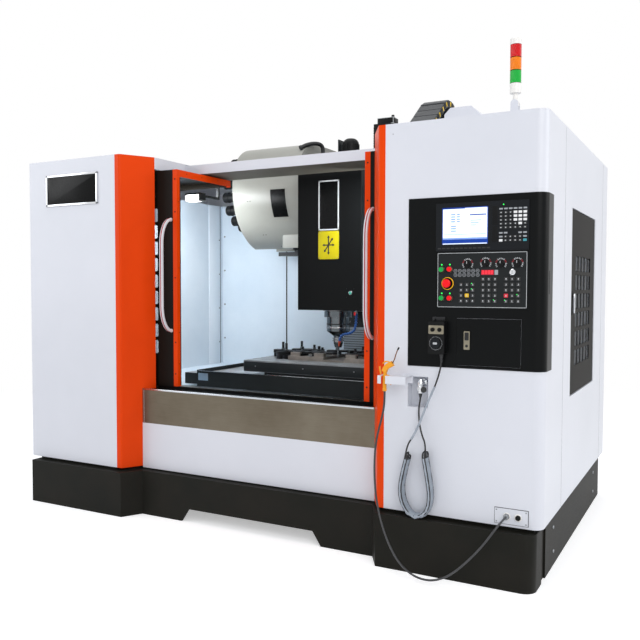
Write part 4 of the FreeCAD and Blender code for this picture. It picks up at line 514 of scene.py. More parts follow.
    def rim(self, x: Span, y: Span, z: Span, wide: float, edge: float = 0.0) -> "Form":
        """Add four bars just inside a rectangle.

        Args:
            x: The rectangle's ends in X.
            y: Where the bars' front and back lie.
            z: The rectangle's ends in Z.
            wide: The bars' width.
            edge: The rounding of their edges.

        Returns:
            This form.
        """
        for u, v in (((x[0], x[0] + wide), z), ((x[1] - wide, x[1]), z),
                     (x, (z[0], z[0] + wide)), (x, (z[1] - wide, z[1]))):
            self.block(u, y, v, edge)
        return self

    def screws(self, spots: Iterable[Point], way: Point = FRONT, radius: float = 5.0) -> "Form":
        """Add the same screw at each of some places.

        Args:
            spots: Middles of the heads' seats.
            way: Direction that the heads face.
            radius: Radius of the heads.

        Returns:
            This form.
        """
        for spot in spots:
            self.screw(spot, way, radius)
        return self

    def screw(self, where: Point, way: Point, radius: float) -> "Form":
        """Add a button-head screw with its socket.

        Args:
            where: Middle of the head's seat.
            way: Direction that the head faces.
            radius: Radius of the head.

        Returns:
            This form.
        """
        return self.turned(where, way, [
            (radius, 0.0), (radius, radius * 0.25), (radius * 0.8, radius * 0.55),
            (radius * 0.5, radius * 0.62), (radius * 0.46, radius * 0.3), (0.0, radius * 0.28)], 20)

    def nut(self, where: Point, radius: float, height: float) -> "Form":
        """Add an upright hexagon nut with its stud.

        Args:
            where: Middle of the nut's seat.
            radius: Radius over its corners.
            height: Its height.

        Returns:
            This form.
        """
        self.turned(where, UP, [(radius, 0.0), (radius, height * 0.9),
                                       (radius * 0.88, height)], 6)
        return self.rod(where, (where[0], where[1], where[2] + height * 1.8), radius * 0.5, 16)


def circle(radius: float, steps: int, first: float = 0.0) -> list[Span]:
    """Points evenly round a circle, from a first angle in degrees."""
    return arc((0.0, 0.0), radius, first, first + 360, steps)[:-1]


def placed(where: Sequence[float], turn: float, axis: str) -> Matrix:
    """A matrix that turns a form by some degrees about an axis and moves it to its place."""
    return Matrix.Translation(where) @ Matrix.Rotation(math.radians(turn), 4, axis)


def measured(line: Sequence[Vector]) -> float:
    """The length of a line through some points."""
    return sum((b - a).length for a, b in zip(line, line[1:]))


def rounded(u: Span, v: Span, corner: float, steps: int = 5) -> list[Span]:
    """The outline of a rectangle with round corners.

    Args:
        u: Its ends across.
        v: Its ends up.
        corner: Radius of the corners.
        steps: Points on each corner.

    Returns:
        Points, anticlockwise.
    """
    points = []
    for cu, cv, start in ((u[1] - corner, v[0] + corner, -90), (u[1] - corner, v[1] - corner, 0),
                          (u[0] + corner, v[1] - corner, 90), (u[0] + corner, v[0] + corner, 180)):
        points += arc((cu, cv), corner, start, start + 90, steps)
    return points


def arc(centre: Span, radius: float, first: float, last: float, steps: int) -> list[Span]:
    """Points on an arc between two angles in degrees."""
    angles = (math.radians(first + (last - first) * i / steps) for i in range(steps + 1))
    return [(centre[0] + radius * math.cos(a), centre[1] + radius * math.sin(a)) for a in angles]


WELD_DISTANCE = 0.00002
BEVEL_FROM_DEGREES = 50


class Assembly:
    """A sub-assembly: it turns forms into pieces, dresses them and puts them on bodies.

    Attributes:
        paint: The paint shop that all sub-assemblies share.
        made: How many pieces they have made.
        body: The body that carries a piece whose own body isn't named.
    """

    paint: ClassVar[Paintshop] = Paintshop()
    made: ClassVar[int] = 0
    body: str = "frame"

    def dress(self, node: str, finish: Finish, edge: float = 0.0) -> None:
        """Give a solid node its finish and, if asked, small rounded edges.

        Args:
            node: The node's name.
            finish: Its finish.
            edge: Rounding of its edges in millimetres.
        """
        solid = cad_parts[node]
        solid.data.materials.clear()
        solid.data.materials.append(self.paint.material(finish))
        if edge:
            weld = solid.modifiers.new("one_skin", "WELD")
            weld.merge_threshold = WELD_DISTANCE
            bevel = solid.modifiers.new("broken_edges", "BEVEL")
            bevel.width = edge / 1000
            bevel.segments = 2
            bevel.limit_method = "ANGLE"
            bevel.angle_limit = math.radians(BEVEL_FROM_DEGREES)
            bevel.harden_normals = True
        LOG.info("dressed %s in %s", node, finish.name)

    def dress_all(self, finish: Finish, *nodes: str) -> None:
        """Give some solid nodes the same finish."""
        for node in nodes:
            self.dress(node, finish)

    def fit(self, name: str, form: Form, finish: Finish, body: str = "",
            sharp: float = 35.0, replaces: Sequence[str] = ()) -> bpy.types.Object:
        """Make a piece from a form and let it ride on a body.

        Args:
            name: The piece's name.
            form: Its mesh in machine millimetres.
            finish: Its finish.
            body: The body that carries it, if not the sub-assembly's own.
            sharp: Edges that turn by more degrees than this stay sharp.
            replaces: Solid nodes that the piece stands for.

        Returns:
            The piece.
        """
        mesh, limit = form.mesh, math.radians(sharp)
        bmesh.ops.recalc_face_normals(mesh, faces=mesh.faces)
        for vertex in mesh.verts:
            vertex.co = in_frame(vertex.co)
        for face in mesh.faces:
            face.smooth = True
        for line in mesh.edges:
            line.smooth = len(line.link_faces) == 2 and line.calc_face_angle(0.0) < limit
        data = bpy.data.meshes.new(name)
        mesh.to_mesh(data)
        mesh.free()
        data.materials.append(self.paint.material(finish))
        piece = bpy.data.objects.new(name, data)
        bpy.context.scene.collection.objects.link(piece)
        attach(piece, body or self.body)
        if replaces:
            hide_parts(*replaces)
        Assembly.made += 1
        LOG.info("piece %s: %d faces on %s", name, len(data.polygons), body or self.body)
        return piece

    def line(self, name: str, points: Sequence[Point], radius: float, finish: Finish,
             body: str = "") -> bpy.types.Object:
        """Make a cord whose centreline is one smooth spline through its route.

        Args:
            name: The piece's name.
            points: The route's points in machine millimetres, as control points.
            radius: The cord's radius in millimetres.
            finish: Its finish.
            body: The body that carries it, if not the sub-assembly's own.

        Returns:
            The cord.
        """
        data = bpy.data.curves.new(name, "CURVE")
        data.dimensions = "3D"
        data.resolution_u = 8
        data.bevel_depth = radius / 1000
        data.bevel_resolution = 4
        data.use_fill_caps = True
        spline = data.splines.new("NURBS")
        spline.points.add(len(points) - 1)
        for control, point in zip(spline.points, points):
            control.co = (*in_frame(point), 1.0)
        spline.order_u = 3
        spline.use_endpoint_u = True
        data.materials.append(self.paint.material(finish))
        piece = bpy.data.objects.new(name, data)
        bpy.context.scene.collection.objects.link(piece)
        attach(piece, body or self.body)
        Assembly.made += 1
        LOG.info("cord %s: %d points", name, len(points))
        return piece


def centreline(cord: bpy.types.Object) -> list[Vector]:
    """Points along a cord's own spline, in machine millimetres.

    Args:
        cord: The cord's curve object.

    Returns:
        Points from the spline's start to its end.
    """
    copy = cord.copy()
    copy.data = cord.data.copy()
    copy.data.bevel_depth = 0.0
    mesh = bpy.data.meshes.new_from_object(copy)
    points = [vertex.co * 1000 + FOOTPRINT_MIDDLE for vertex in mesh.vertices]
    bpy.data.objects.remove(copy)
    return points



# ---- The machine, sub-assembly by sub-assembly ----
@dataclass
class Enclosure(Assembly):
    """The cabinets, trims, base, sill and roof, with their plate, seams, screws and port."""

    plate_x: Span = (154, 585)
    plate_z: Span = (1864, 2056)
    plate_frame: float = 13
    seam: float = 1.6
    side: float = 3223
    back: float = 1877
    side_seams: Span = (431, 1679)
    back_seams: tuple[float, ...] = (800, 1706, 2420)
    seam_z: Span = (285, 2141)
    sill_x: Span = (862, 2314)
    sill_top: float = 745.9
    port_x: Span = (3066, 3118)
    port_z: float = 327
    base_bolts: tuple[Span, ...] = ((365, 195), (374, 74), (1620, 195), (1620, 74))
    roof_screws_x: tuple[float, ...] = (2480, 3180, 40, 690)
    roof_screws_y: tuple[float, ...] = (240, 700, 1100, 1560)

    def build(self) -> None:
        """Dress the sheets and add the fittings."""
        self.dress_all(WHITE_POWDER, "left_cabinet", "right_cabinet", "front_apron", "roof_panel")
        self.dress_all(ORANGE_POWDER, "left_trim", "right_trim")
        self.dress("base_skirt", BASE_PAINT, 7)
        # The sill's dark brown-grey is painted reflection.
        self.dress("sill_band", BRUSHED_SHEET)
        for step in (self.nameplate, self.seams, self.sill, self.beam_underside, self.port, self.screws):
            step()

    def nameplate(self) -> None:
        """The blank black plate in its bright frame on the left cabinet."""
        (x0, x1), (z0, z1), wide = self.plate_x, self.plate_z, self.plate_frame
        rim = Form().rim((x0 - 0.5, x1 + 0.5), (-9, -0.3), (z0 - 0.5, z1 + 0.5), wide, 2.5)
        self.fit("nameplate_frame", rim, CHROME)
        outline = rounded((x0 + wide, x1 - wide), (z0 + wide, z1 - wide), 4)
        self.fit("nameplate_blank", Form().plate(outline, (-4.5, -0.3), 0.8), DARK_GLASS)
        heads = Form().screws(product((x0 + 7, x1 - 7), (-9,), (z0 + 7, z1 - 7)), FRONT, 4)
        self.fit("nameplate_screws", heads, ZINC_SCREW)

    def seams(self) -> None:
        """The narrow gaps between the sheets of both sides and of the back."""
        dark, half = Form(), self.seam / 2
        for y in self.side_seams:
            for x in ((self.side - 0.5, self.side + 0.25), (-0.25, 0.5)):
                dark.block(x, (y - half, y + half), self.seam_z)
        for x in self.back_seams:
            dark.block((x - half, x + half), (self.back - 0.5, self.back + 0.25), self.seam_z)
        self.fit("sheet_seams", dark, SEAL_BLACK_AND_GAP_SHADE)

    def sill(self) -> None:
        """The bright folded lip on the sill with its end strip, and the black sheets behind it: painted shade
        in the gap between the sill and the saddle.
        """
        low, _ = machine_box("sill_band")
        (x0, x1), top, y = self.sill_x, self.sill_top, low.y
        ends = (x0 - 34, x1 + 38)
        lip = Form().block(ends, (y - 1.2, y + 6.6), (743, 752.6), 0.8)
        lip.block(ends, (y + 6.2, y + 40), (top, top + 0.9))
        lip.block((ends[0] + 0.2, ends[0] + 4), (y - 1, y - 0.1), (low.z + 2, 743), 0.3)
        self.fit("sill_lip", lip, POLISHED_LIP)
        # Black sheets on the sill's top and riser behind the lip: painted shade of the gap to the saddle.
        mat = Form().block(self.sill_x, (y + 40, y + 101), (top, top + 0.8))
        mat.block((1020, 2283), (y + 112, y + 273), (top, top + 0.8))
        mat.block(self.sill_x, (y + 101, y + 102.9), (746, 763.2))
        self.fit("sill_painted_shade", mat, BLACK_POWDER)

    def beam_underside(self) -> None:
        """A dull plate under the roof's front beam: painted shade on its white underside."""
        low, high = machine_box("roof_panel")
        under = Form().block((low.x + 2, high.x - 2), (low.y + 3, high.y - 3),
                             (low.z - 1.2, low.z - 0.1))
        self.fit("roof_beam_underside", under, BEAM_SHADE_PAINT)

    def port(self) -> None:
        """The rims, plug, nut, shadow gap and screws of the port plate low on the front."""
        (left, right), z = self.port_x, self.port_z
        rims = Form()
        for x in self.port_x:
            rims.turned((x, -4, z), FRONT, [(17, 0), (17, 3), (15, 4.5), (13, 4.5), (12, 2),
                                              (11.2, 2)], 32)
        self.fit("port_rims", rims, LAMP_WHITE)
        plug = Form().turned((right, -14, z), FRONT, [(11.3, -9), (11.3, 0.4), (8.5, 0.6),
                                                        (8.5, -3), (0, -3)], 32)
        plug.turned((right, -14, z), FRONT, [(0, 1.2), (9.2, 1.2), (9.2, 0.4)], 32)
        self.fit("port_plug", plug, BLACK_ABS)
        nut = Form().turned((left, -8.4, z), FRONT, [(15, 0), (15, 9), (13, 10.5), (11.1, 10.5)], 6)
        nut.turned((left, -20, z), FRONT, [(11.2, 0), (11.8, 2), (11.8, 9), (10.2, 10.2),
                                             (9.2, 10.2), (5.2, 10.3)], 32)
        self.fit("port_nut", nut, ZINC_SCREW)
        # A dark rim round the port plate: painted shadow in the gap round it.
        gap = Form().rim((3008.5, 3163.5), (-1, 0), (289.5, 363.5), 2.5)
        self.fit("port_shadow_gap", gap, SEAL_BLACK_AND_GAP_SHADE)
        heads = Form().screws(product((3019, 3153), (-4,), (300, 353)), FRONT, 3.2)
        self.fit("port_screws", heads, ZINC_SCREW)

    def screws(self) -> None:
        """The bolts of the base and the screws of the cabinets' tops."""
        heads = Form().screws([(3200, y, z) for y, z in self.base_bolts], RIGHT, 9)
        self.fit("base_bolts", heads, ZINC_SCREW)
        small = Form().screws(product(self.roof_screws_x, self.roof_screws_y, (2147,)), UP, 4.5)
        small.screw((2497, 0, 2098), FRONT, 2.4)
        self.fit("roof_screws", small, ZINC_SCREW)


@dataclass
class SlidingDoors(Assembly):
    """The two sliding doors: windows, orange edges with their screws, and bow handles."""

    edge_screws: tuple[float, ...] = (840, 1030, 1420, 1815, 2010)
    arm_screws: tuple[float, ...] = (300, 450, 620)
    sunk: float = 1.9
    bow_bend: float = 150
    pane: float = 80
    pane_pitch: float = 100
    pane_row: Span = (1760, 1840)

    def build(self) -> None:
        """Dress both doors and fit their screws, handles, gaskets and top panes."""
        for side in ("left", "right"):
            self.dress(side + "_door", BROWN_BLACK)
            self.dress(side + "_door_edge", ORANGE_POWDER)
            self.dress(side + "_door_glass", WINDOW_GLASS)
            self.screws(side)
            self.handle(side)
            self.gasket(side)
            self.panes(side)

    @staticmethod
    def closing(side: str, low: Vector, high: Vector) -> tuple[float, int]:
        """Where a door's closing side lies in X, and which way it faces."""
        return (high.x, 1) if side == "left" else (low.x, -1)

    def screws(self, side: str) -> None:
        """The screws up the orange edge and along its roof arm.

        Args:
            side: Which door, "left" or "right".
        """
        low, high = machine_box(side + "_door_edge")
        x, sign = self.closing(side, low, high)
        heads = Form().screws([((low.x + high.x) / 2, low.y, z) for z in self.edge_screws], FRONT, 4.2)
        inner = x - self.sunk * sign
        heads.screws([(inner, y, high.z - 18) for y in self.arm_screws], (sign, 0, 0), 4.2)
        heads.screws([(inner, low.y + 17, z + 60) for z in self.edge_screws[:-1]], (sign, 0, 0), 4.2)
        self.fit(side + "_edge_screws", heads, BLACK_SCREW, side + "_sliding_door")

    def bow(self, y: float, z0: float, z1: float, reach: float, x: float) -> list[Point]:
        """The centreline of a bow handle, from its lower to its upper foot.

        Args:
            y: Depth of the feet.
            z0: Height of the lower foot.
            z1: Height of the upper foot.
            reach: How far it stands off.
            x: Its place across.

        Returns:
            Points of the centreline.
        """
        bend = [(reach * math.sin(a), self.bow_bend * (1 - math.cos(a)))
                for a in (math.radians(7.5 * i) for i in range(13))]
        return ([(x, y - out, z0 + up) for out, up in bend]
                + [(x, y - out, z1 - up) for out, up in reversed(bend)])

    def handle(self, side: str) -> None:
        """The bow handle: two bright ribs, a red stripe between them and round feet.

        Args:
            side: Which door, "left" or "right".
        """
        low, high = machine_box(side + "_door_handle")
        body = side + "_sliding_door"
        x, half, face = (low.x + high.x) / 2, (high.x - low.x) / 2, high.y
        path = self.bow(face - 4, low.z + 11, high.z - 11, face - low.y - 12.5, x)
        bar = Form().sweep(path, rounded((-half, half), (-8, 8), 5.5, 4))
        for foot in (path[0], path[-1]):
            bar.turned((foot[0], face, foot[2]), FRONT, [(11, 0), (11, 4), (9.5, 6)], 24)
        self.fit(side + "_handle_bow", bar, HANDLE_WHITE, body, 60, [side + "_door_handle"])
        trail = self.bow(face - 4.2, low.z + 10.6, high.z - 10.6, face - low.y - 12.2, x)
        stripe = Form().sweep(trail[1:-1], rounded((-3.2, 3.2), (-8.5, 8.5), 1, 2))
        self.fit(side + "_handle_stripe", stripe, PRINT_RED, body, 60)

    def gasket(self, side: str) -> None:
        """The black rubber profile along the door's closing edge.

        Args:
            side: Which door, "left" or "right".
        """
        low, high = machine_box(side + "_door_edge")
        x, sign = self.closing(side, low, high)
        strip = Form().block(tuple(sorted((x, x + 0.8 * sign))), (low.y + 26, low.y + 33),
                             (low.z + 6, high.z - 45))
        self.fit(side + "_door_gasket", strip, SEAL_BLACK_AND_GAP_SHADE, side + "_sliding_door")

    def panes(self, side: str) -> None:
        """The top row of window panes: opaque pale plates on the door's sheet, painted with the light of the
        work area behind them.

        Args:
            side: Which door, "left" or "right".
        """
        low, high = machine_box(side + "_door")
        x, sign = self.closing(side, low, high)
        row = Form()
        for column in range(5):
            near = 118 + self.pane_pitch * column
            span = sorted((x - near * sign, x - (near + self.pane) * sign))
            row.plate(rounded(span, self.pane_row, 8), (low.y - 0.8, low.y + 0.4), 0.3)
        self.fit(side + "_door_top_panes", row, LIT_VIEW_PANE, side + "_sliding_door")


@dataclass
class WorkArea(Assembly):
    """The liner, saddle tray, table, plate with clamps, work lamp and column."""

    lamp_x: Span = (802, 918)
    liner_bolts: tuple[float, ...] = (960, 1230, 1500, 1770)
    liner_z: Span = (640, 2008)
    tray_rim: float = 9
    table_screws: tuple[float, ...] = (1200, 1560, 1920, 2250)
    # The clamps' places in X and Y and their turns in degrees.
    clamp_spots: tuple[Point, ...] = (
        (1432, 1165, 20), (1442, 985, -12), (1520, 1070, -35), (1600, 1180, 8), (1590, 985, 14),
        (1800, 1170, -20), (1830, 985, 25), (1895, 1075, -30), (1975, 1170, 5), (1975, 985, 12),
        (1215, 1110, -8), (1290, 1240, 15), (1300, 1010, 60))
    slats: Span = (905, 1075)
    slat_step: float = 17
    motor_at: Point = (1706, 1740, 2350)
    motor_half: float = 65

    def build(self) -> None:
        """Dress the work area's solids and add what is fixed in it."""
        self.dress("work_area_liner", WHITE_SIDE)
        self.dress_all(TRAY_PAINT, "column_way_cover", "saddle")
        self.dress("table", GROUND_IRON, 1.5)
        self.dress("fixture", WORN_STEEL, 1)
        self.dress_all(CAST_PAINT, "bed", "column")
        self.dress("work_lamp", IRON_SIDE)
        for step in (self.lamp, self.liner, self.tray, self.table, self.clamps, self.way_slats, self.motor):
            step()

    def lamp(self) -> None:
        """The lit cover under the work lamp and its end caps."""
        x0, x1 = self.lamp_x
        lens = Form().block((x0 + 6, x1 - 6), (553, 616), (1922, 1964), 8, 3)
        self.fit("work_lamp_lens", lens, TUBE_LIGHT)
        caps = Form()
        for x in ((x0, x0 + 6), (x1 - 6, x1)):
            caps.block(x, (550, 619), (1919, 1967), 3)
        self.fit("work_lamp_caps", caps, SATIN_ALUMINIUM)

    def liner(self) -> None:
        """The liner's joint strips, its corner sheets and the bolts beside them."""
        low, high = machine_box("work_area_liner")
        strips, folds = Form(), Form()
        for x in (950, 2462):
            strips.block((x - 5, x + 5), (high.y - 5, high.y - 2.9), (640, 1790), 0.8)
        for x in (low.x + 3.2, high.x - 4):
            strips.block((x, x + 0.8), (1566, 1574), self.liner_z)
        self.fit("liner_joints", strips, SEAL_BLACK_AND_GAP_SHADE)
        # The corner sheets' lighter enamel is painted light.
        for x in ((low.x + 2.9, low.x + 7), (high.x - 7, high.x - 2.9)):
            folds.block(x, (1419, 1563), self.liner_z, 1.2)
        self.fit("liner_corner_sheets", folds, CORNER_SHEET_LIGHTER)
        heads = Form().screws(product((low.x + 26, high.x - 26), (high.y - 3.2,), self.liner_bolts),
                              FRONT, 7)
        lower = [z - 30 for z in self.liner_bolts]
        heads.screws(product((low.x + 6.8,), (1552,), lower), RIGHT, 6)
        heads.screws(product((high.x - 6.8,), (1552,), lower), LEFT, 6)
        self.fit("liner_bolts", heads, ZINC_SCREW)

    def tray(self) -> None:
        """The worn linings of the saddle's tray and its wing, the bright lip and a small plate."""
        low, high = machine_box("saddle")
        rim = Form()
        for x in ((low.x, low.x + self.tray_rim), (high.x - self.tray_rim, high.x)):
            rim.block(x, (low.y, high.y), (798, high.z - 1), 0.8)
        for name, finish, form in (
                ("lining", SCOURED_SHEET, Form().block(
                    (low.x + 4, high.x - 4), (low.y + 4, high.y - 4), (779.9, 781.2))),
                ("lip", POLISHED_LIP, Form().block(
                    (low.x + 2, high.x - 2), (low.y + 0.5, low.y + 3.5), (799.9, 803), 0.8)),
                ("rims", TRAY_PAINT, rim),
                ("wing", TRAY_PAINT, Form().block(
                    (low.x - 150, low.x + 2), (low.y + 60, high.y - 10), (700, 776), 3)),
                ("wing_lining", SCOURED_SHEET, Form().block(
                    (low.x - 146, low.x + 1), (low.y + 64, high.y - 14), (775.8, 777))),
                ("plate", PRINT_BLUE, Form().plate(
                    rounded((low.x + 12, low.x + 92), (738, 786), 3),
                    (low.y - 1, low.y), 0.3))):
            self.fit("tray_" + name, form, finish, "saddle_body")

    def table(self) -> None:
        """The painted front of the table with its screws."""
        low, high = machine_box("table")
        face = Form().block((low.x + 2, high.x - 2), (low.y - 1.2, low.y + 0.2),
                            (low.z + 2, high.z - 9), 0.5)
        self.fit("table_front_paint", face, IRON_SIDE, "table_body")
        heads = Form().screws(product(self.table_screws, (low.y - 1.2,), (high.z - 38,)))
        self.fit("table_front_screws", heads, ZINC_SCREW, "table_body")

    def clamps(self) -> None:
        """The strap clamps, their nuts and studs on the fixture plate."""
        low, _ = machine_box("fixture")
        straps, nuts = Form(), Form()
        for x, y, turn in self.clamp_spots:
            strap = Form().block((-60, 60), (-18, 18), (15, 29), 2.5)
            strap.block((-58, -34), (-16, 16), (-1, 16), 2)
            strap.block((-17, 17), (-30, 30), (-1, 16), 2.5)
            strap.turned((0, 0, 28), UP, [(13, 0), (13, 3), (7.5, 3.4), (7.5, 30), (6.5, 31.5),
                                                (0, 31.5)], 20)
            # Left of the plate a taller clamp stands on the table itself.
            base, tall = (low.z + 28, 1) if x > low.x else (low.z, 1.75)
            straps.join(strap, placed((x, y, base), turn, "Z") @ Matrix.Diagonal((1.15, 1.3, tall, 1)))
            nuts.nut((x, y, base + 31 * tall), 12, 10)
        self.fit("strap_clamps", straps, BLACK_OXIDE, "table_body")
        self.fit("clamp_nuts", nuts, TOOL_STEEL, "table_body")

    def way_slats(self) -> None:
        """The overlapping slats of the way cover before the column, and dark strips under their ribs: painted
        shade in the gaps between.
        """
        low, high = machine_box("column_way_cover")
        wide, front, step = (low.x - 42, high.x + 42), low.y, self.slat_step
        slats, gaps = Form(), Form()
        z = self.slats[0]
        while z < self.slats[1]:
            outline = [(wide[0], z), (wide[1], z), (wide[1], z + step + 2), (wide[0], z + step + 2)]
            slats.plate(outline, (front - 9, front - 7.8))
            slats.block(wide, (front - 13, front - 8), (z, z + 4), 0.8)
            # A dark strip under each rib: painted shade.
            gaps.block((wide[0] - 0.2, wide[1] + 0.2), (front - 9.6, front - 8.9), (z - 4, z))
            z += step
        slats.block((wide[0] + 2, wide[1] - 2), (front - 8, front), (self.slats[0], z))
        self.fit("way_cover_slats", slats, BRUSHED_SLAT)
        self.fit("way_cover_gaps", gaps, SEAL_BLACK_AND_GAP_SHADE)

    def motor(self) -> None:
        """The lift motor's finned black housing on the column's top plate."""
        (x, y, base), half = self.motor_at, self.motor_half
        housing = Form()
        rings = [(6, 0, 16, 2), *((2, 22 + i * 18, 31 + i * 18, 1.5) for i in range(9)),
                 (0.5, 16, 200.6, 1)]
        for more, z0, z1, edge in rings:
            reach = half + more
            housing.block((x - reach, x + reach), (y - reach, y + reach), (base + z0, base + z1), edge)
        housing.block((x - 46, x + 81.2), (y - 46, y + 46), (base + 200, base + 245), 5)
        housing.turned((x + 58, y, base + 245), UP, [(15, -1), (15, 6), (11, 9), (11, 22)], 24)
        self.fit("lift_motor_housing", housing, BLACK_ABS)


@dataclass
class SpindleHead(Assembly):
    """The head's cover with its plates, the motor, the nose and the jointed coolant hose."""

    centre: Span = (1706, 987)
    motor_at: Point = (1716, 1142, 2158)
    cover_front: float = 850
    nose_top: float = 1219
    plate_half: float = 73
    upper_plate: Span = (1724, 2038)
    lower_plate: Span = (1543, 1720)
    indicator_at: Span = (1858, 1330)
    hose_route: tuple[Point, ...] = (
        (1882, 890, 1219), (1882, 890, 1180), (1880, 888, 1132), (1868, 886, 1090), (1832, 887, 1073),
        (1796, 890, 1070), (1769, 896, 1054), (1758, 901, 1026), (1754, 905, 990))
    hose_joint: float = 17
    hose_tip: float = 34
    body: str = "spindle_head"

    def build(self) -> None:
        """Dress the head and add its plates, indicator, nose rings and hose."""
        self.dress("head_cover", BLACK_POWDER, 2)
        self.dress("spindle", TURNED_STEEL)
        for step in (self.motor, self.plates, self.arrows, self.indicator, self.nose, self.hose):
            step()

    def motor(self) -> None:
        """The spindle motor's finned round housing on its flange, with a grey connector plate."""
        housing = Form().block((1648, 1776), (1086, 1198), (2140, 2158), 2)
        housing.turned(self.motor_at, UP, [(54, 0), (54, 150), (52, 162), (44, 176), (30, 186), (0, 190)])
        for i in range(28):
            fin = Form().block((50, 57.5), (-1.8, 1.8), (8, 150), 0.8)
            housing.join(fin, placed(self.motor_at, 360 * i / 28, "Z"))
        self.fit("spindle_motor_housing", housing, BLACK_ABS, replaces=["spindle_motor"])
        plate = Form().block((1644, 1652), (1094, 1170), (2158, 2340), 2)
        plate.block((1648, 1672), (1112, 1150), (2200, 2310), 2)
        self.fit("spindle_motor_plate", plate, IRON_SIDE)

    def plates(self) -> None:
        """The blank black plate in a bright frame and the yellow plate under it."""
        x, half, face = self.centre[0], self.plate_half, self.cover_front - 3
        z0, z1 = self.upper_plate
        rim = Form().rim((x - half, x + half), (face - 2.2, face), self.upper_plate, 9, 0.9)
        self.fit("head_plate_frame", rim, PRINT_WHITE)
        outline = rounded((x - half + 11, x + half - 11), (z0 + 11, z1 - 11), 8)
        self.fit("head_plate_blank", Form().plate(outline, (face - 1.6, face), 0.4), DARK_GLASS)
        outline = rounded((x - half, x + half), self.lower_plate, 10)
        self.fit("axis_plate", Form().plate(outline, (face - 1.6, face), 0.4), LABEL_YELLOW)
        z0, z1 = self.lower_plate
        spots = product((x - half + 9, x + half - 9), (face - 1.6,), (z0 + 9, z1 - 9))
        self.fit("axis_plate_screws", Form().screws(spots, FRONT, 3.2), ZINC_SCREW)

    def arrows(self) -> None:
        """The plain arrows of the three axes on the yellow plate."""
        face = self.cover_front - 4.6
        middle = Vector((self.centre[0], sum(self.lower_plate) / 2))
        ink = Form()
        for angle, reach in ((0, 40), (180, 40), (90, 58), (270, 58), (55, 52), (235, 52)):
            a = math.radians(angle)
            way, side = Vector((math.cos(a), math.sin(a))), Vector((-math.sin(a), math.cos(a)))
            shaft = ((0, 4), (reach - 8, 4), (reach - 8, -4), (0, -4))
            head = ((reach - 12, 10), (reach + 4, 0), (reach - 12, -10))
            for outline in (shaft, head):
                ink.plate([tuple(middle + way * u + side * v) for u, v in outline], (face - 0.4, face))
        self.fit("axis_arrows", ink, PRINT_BLACK)

    def indicator(self) -> None:
        """The green push indicator with its four cover screws."""
        (x, z), face = self.indicator_at, self.cover_front
        ring = Form().turned((x, face, z), FRONT, [(13, 0), (13, 1), (11, 2.4), (9.5, 2.4), (9.5, 2),
                                                   (8.5, 2)], 32)
        self.fit("indicator_ring", ring, ZINC_SCREW)
        lens = Form().turned((x, face, z), FRONT, [(8.8, 0), (8.8, 2.2), (6, 2.9), (0, 3)], 28)
        self.fit("indicator_lens", lens, TEAL_LENS)
        heads = Form().screws(product((x - 26, x + 26), (face,), (z - 26, z + 26)), FRONT, 2.6)
        self.fit("indicator_screws", heads, BLACK_SCREW)

    def nose(self) -> None:
        """The rings, key slots and bolts of the spindle nose, and the fluted cutter."""
        x, y = self.centre
        fixed = Form().turned((x, y, self.nose_top), DOWN, [(98, -0.5), (98, 6), (94, 8), (92.6, 8)], 64)
        for u, v in circle(84, 8, 22):
            fixed.turned((x + u, y + v, 1175), DOWN, [(6, 0), (6, 3.6), (3.4, 3.6), (3.4, 1.5), (0, 1.5)], 16)
        self.fit("nose_flange_ring", fixed, ZINC_SCREW)
        turning = Form().turned((x, y, 1112), DOWN, [(75.6, 0), (76.6, 2), (76.6, 12), (75.6, 14)], 64)
        turning.turned((x, y, 1040), DOWN, [(31.4, 0), (38, 2), (38, 9), (34.5, 12), (34.5, 15), (38, 18),
                                              (38, 25), (31.4, 27)], 48)
        self.fit("holder_flange", turning, TOOL_STEEL, "spindle_body")
        # A thin dark ring on the spindle: painted shade in the gap at its nose.
        dark = Form().turned((x, y, 1131), DOWN, [(75.3, 0), (75.5, 1), (75.5, 5), (75.3, 6)], 64)
        self.fit("nose_gap", dark, SEAL_BLACK_AND_GAP_SHADE, "spindle_body")
        flutes = Form()
        for turn in (0, 180):
            turns = [math.radians(turn + i * 18) for i in range(25)]
            path = [(x + 5.4 * math.cos(a), y + 5.4 * math.sin(a), 916 + i * 1.9)
                    for i, a in enumerate(turns)]
            flutes.sweep(path, circle(3.1, 8), UP)
        self.fit("cutter_flutes", flutes, TOOL_STEEL, "spindle_body")

    def hose(self) -> None:
        """The coolant hose of ball joints with its tap and orange tip."""
        guide = self.line("coolant_guide", self.hose_route, 9, BLUE_ACETAL)
        points = centreline(guide)
        bpy.data.objects.remove(guide)
        gaps = [0]
        for a, b in zip(points, points[1:]):
            gaps.append(gaps[-1] + (b - a).length)
        last = gaps[-1] - self.hose_tip
        beads, distance = Form(), 26
        while distance < last:
            beads.turned(*self.at(points, gaps, distance), [
                (5.2, -8.5), (8.6, -6), (9.4, -1), (8.2, 3), (5.2, 5.4), (6.2, 7.4), (5, 9)], 20)
            distance += self.hose_joint
        self.fit("coolant_hose_joints", beads, BLUE_ACETAL, replaces=["coolant_nozzle"])
        tip = Form().turned(*self.at(points, gaps, last), [
            (8.5, -6), (8.8, 0), (8, 8), (4.6, 24), (4.2, 34), (2.8, 34), (2.8, 28), (0, 28)], 24)
        self.fit("coolant_tip", tip, ORANGE_ACETAL)
        x, y, z = self.hose_route[0]
        tap = Form().turned((x, y, z), DOWN, [(9, -1), (9, 8), (8.2, 9), (8.2, 22), (6.8, 24)], 24)
        tap.rod((x - 2, y - 22, 1206), (x, y, 1206), 2.6)
        self.fit("coolant_tap", tap, TOOL_STEEL)
        lever = Form().block((x - 5, x + 5), (y - 26, y - 22), (1190, 1211), 1.2)
        self.fit("coolant_tap_lever", lever, RED_PLASTIC)

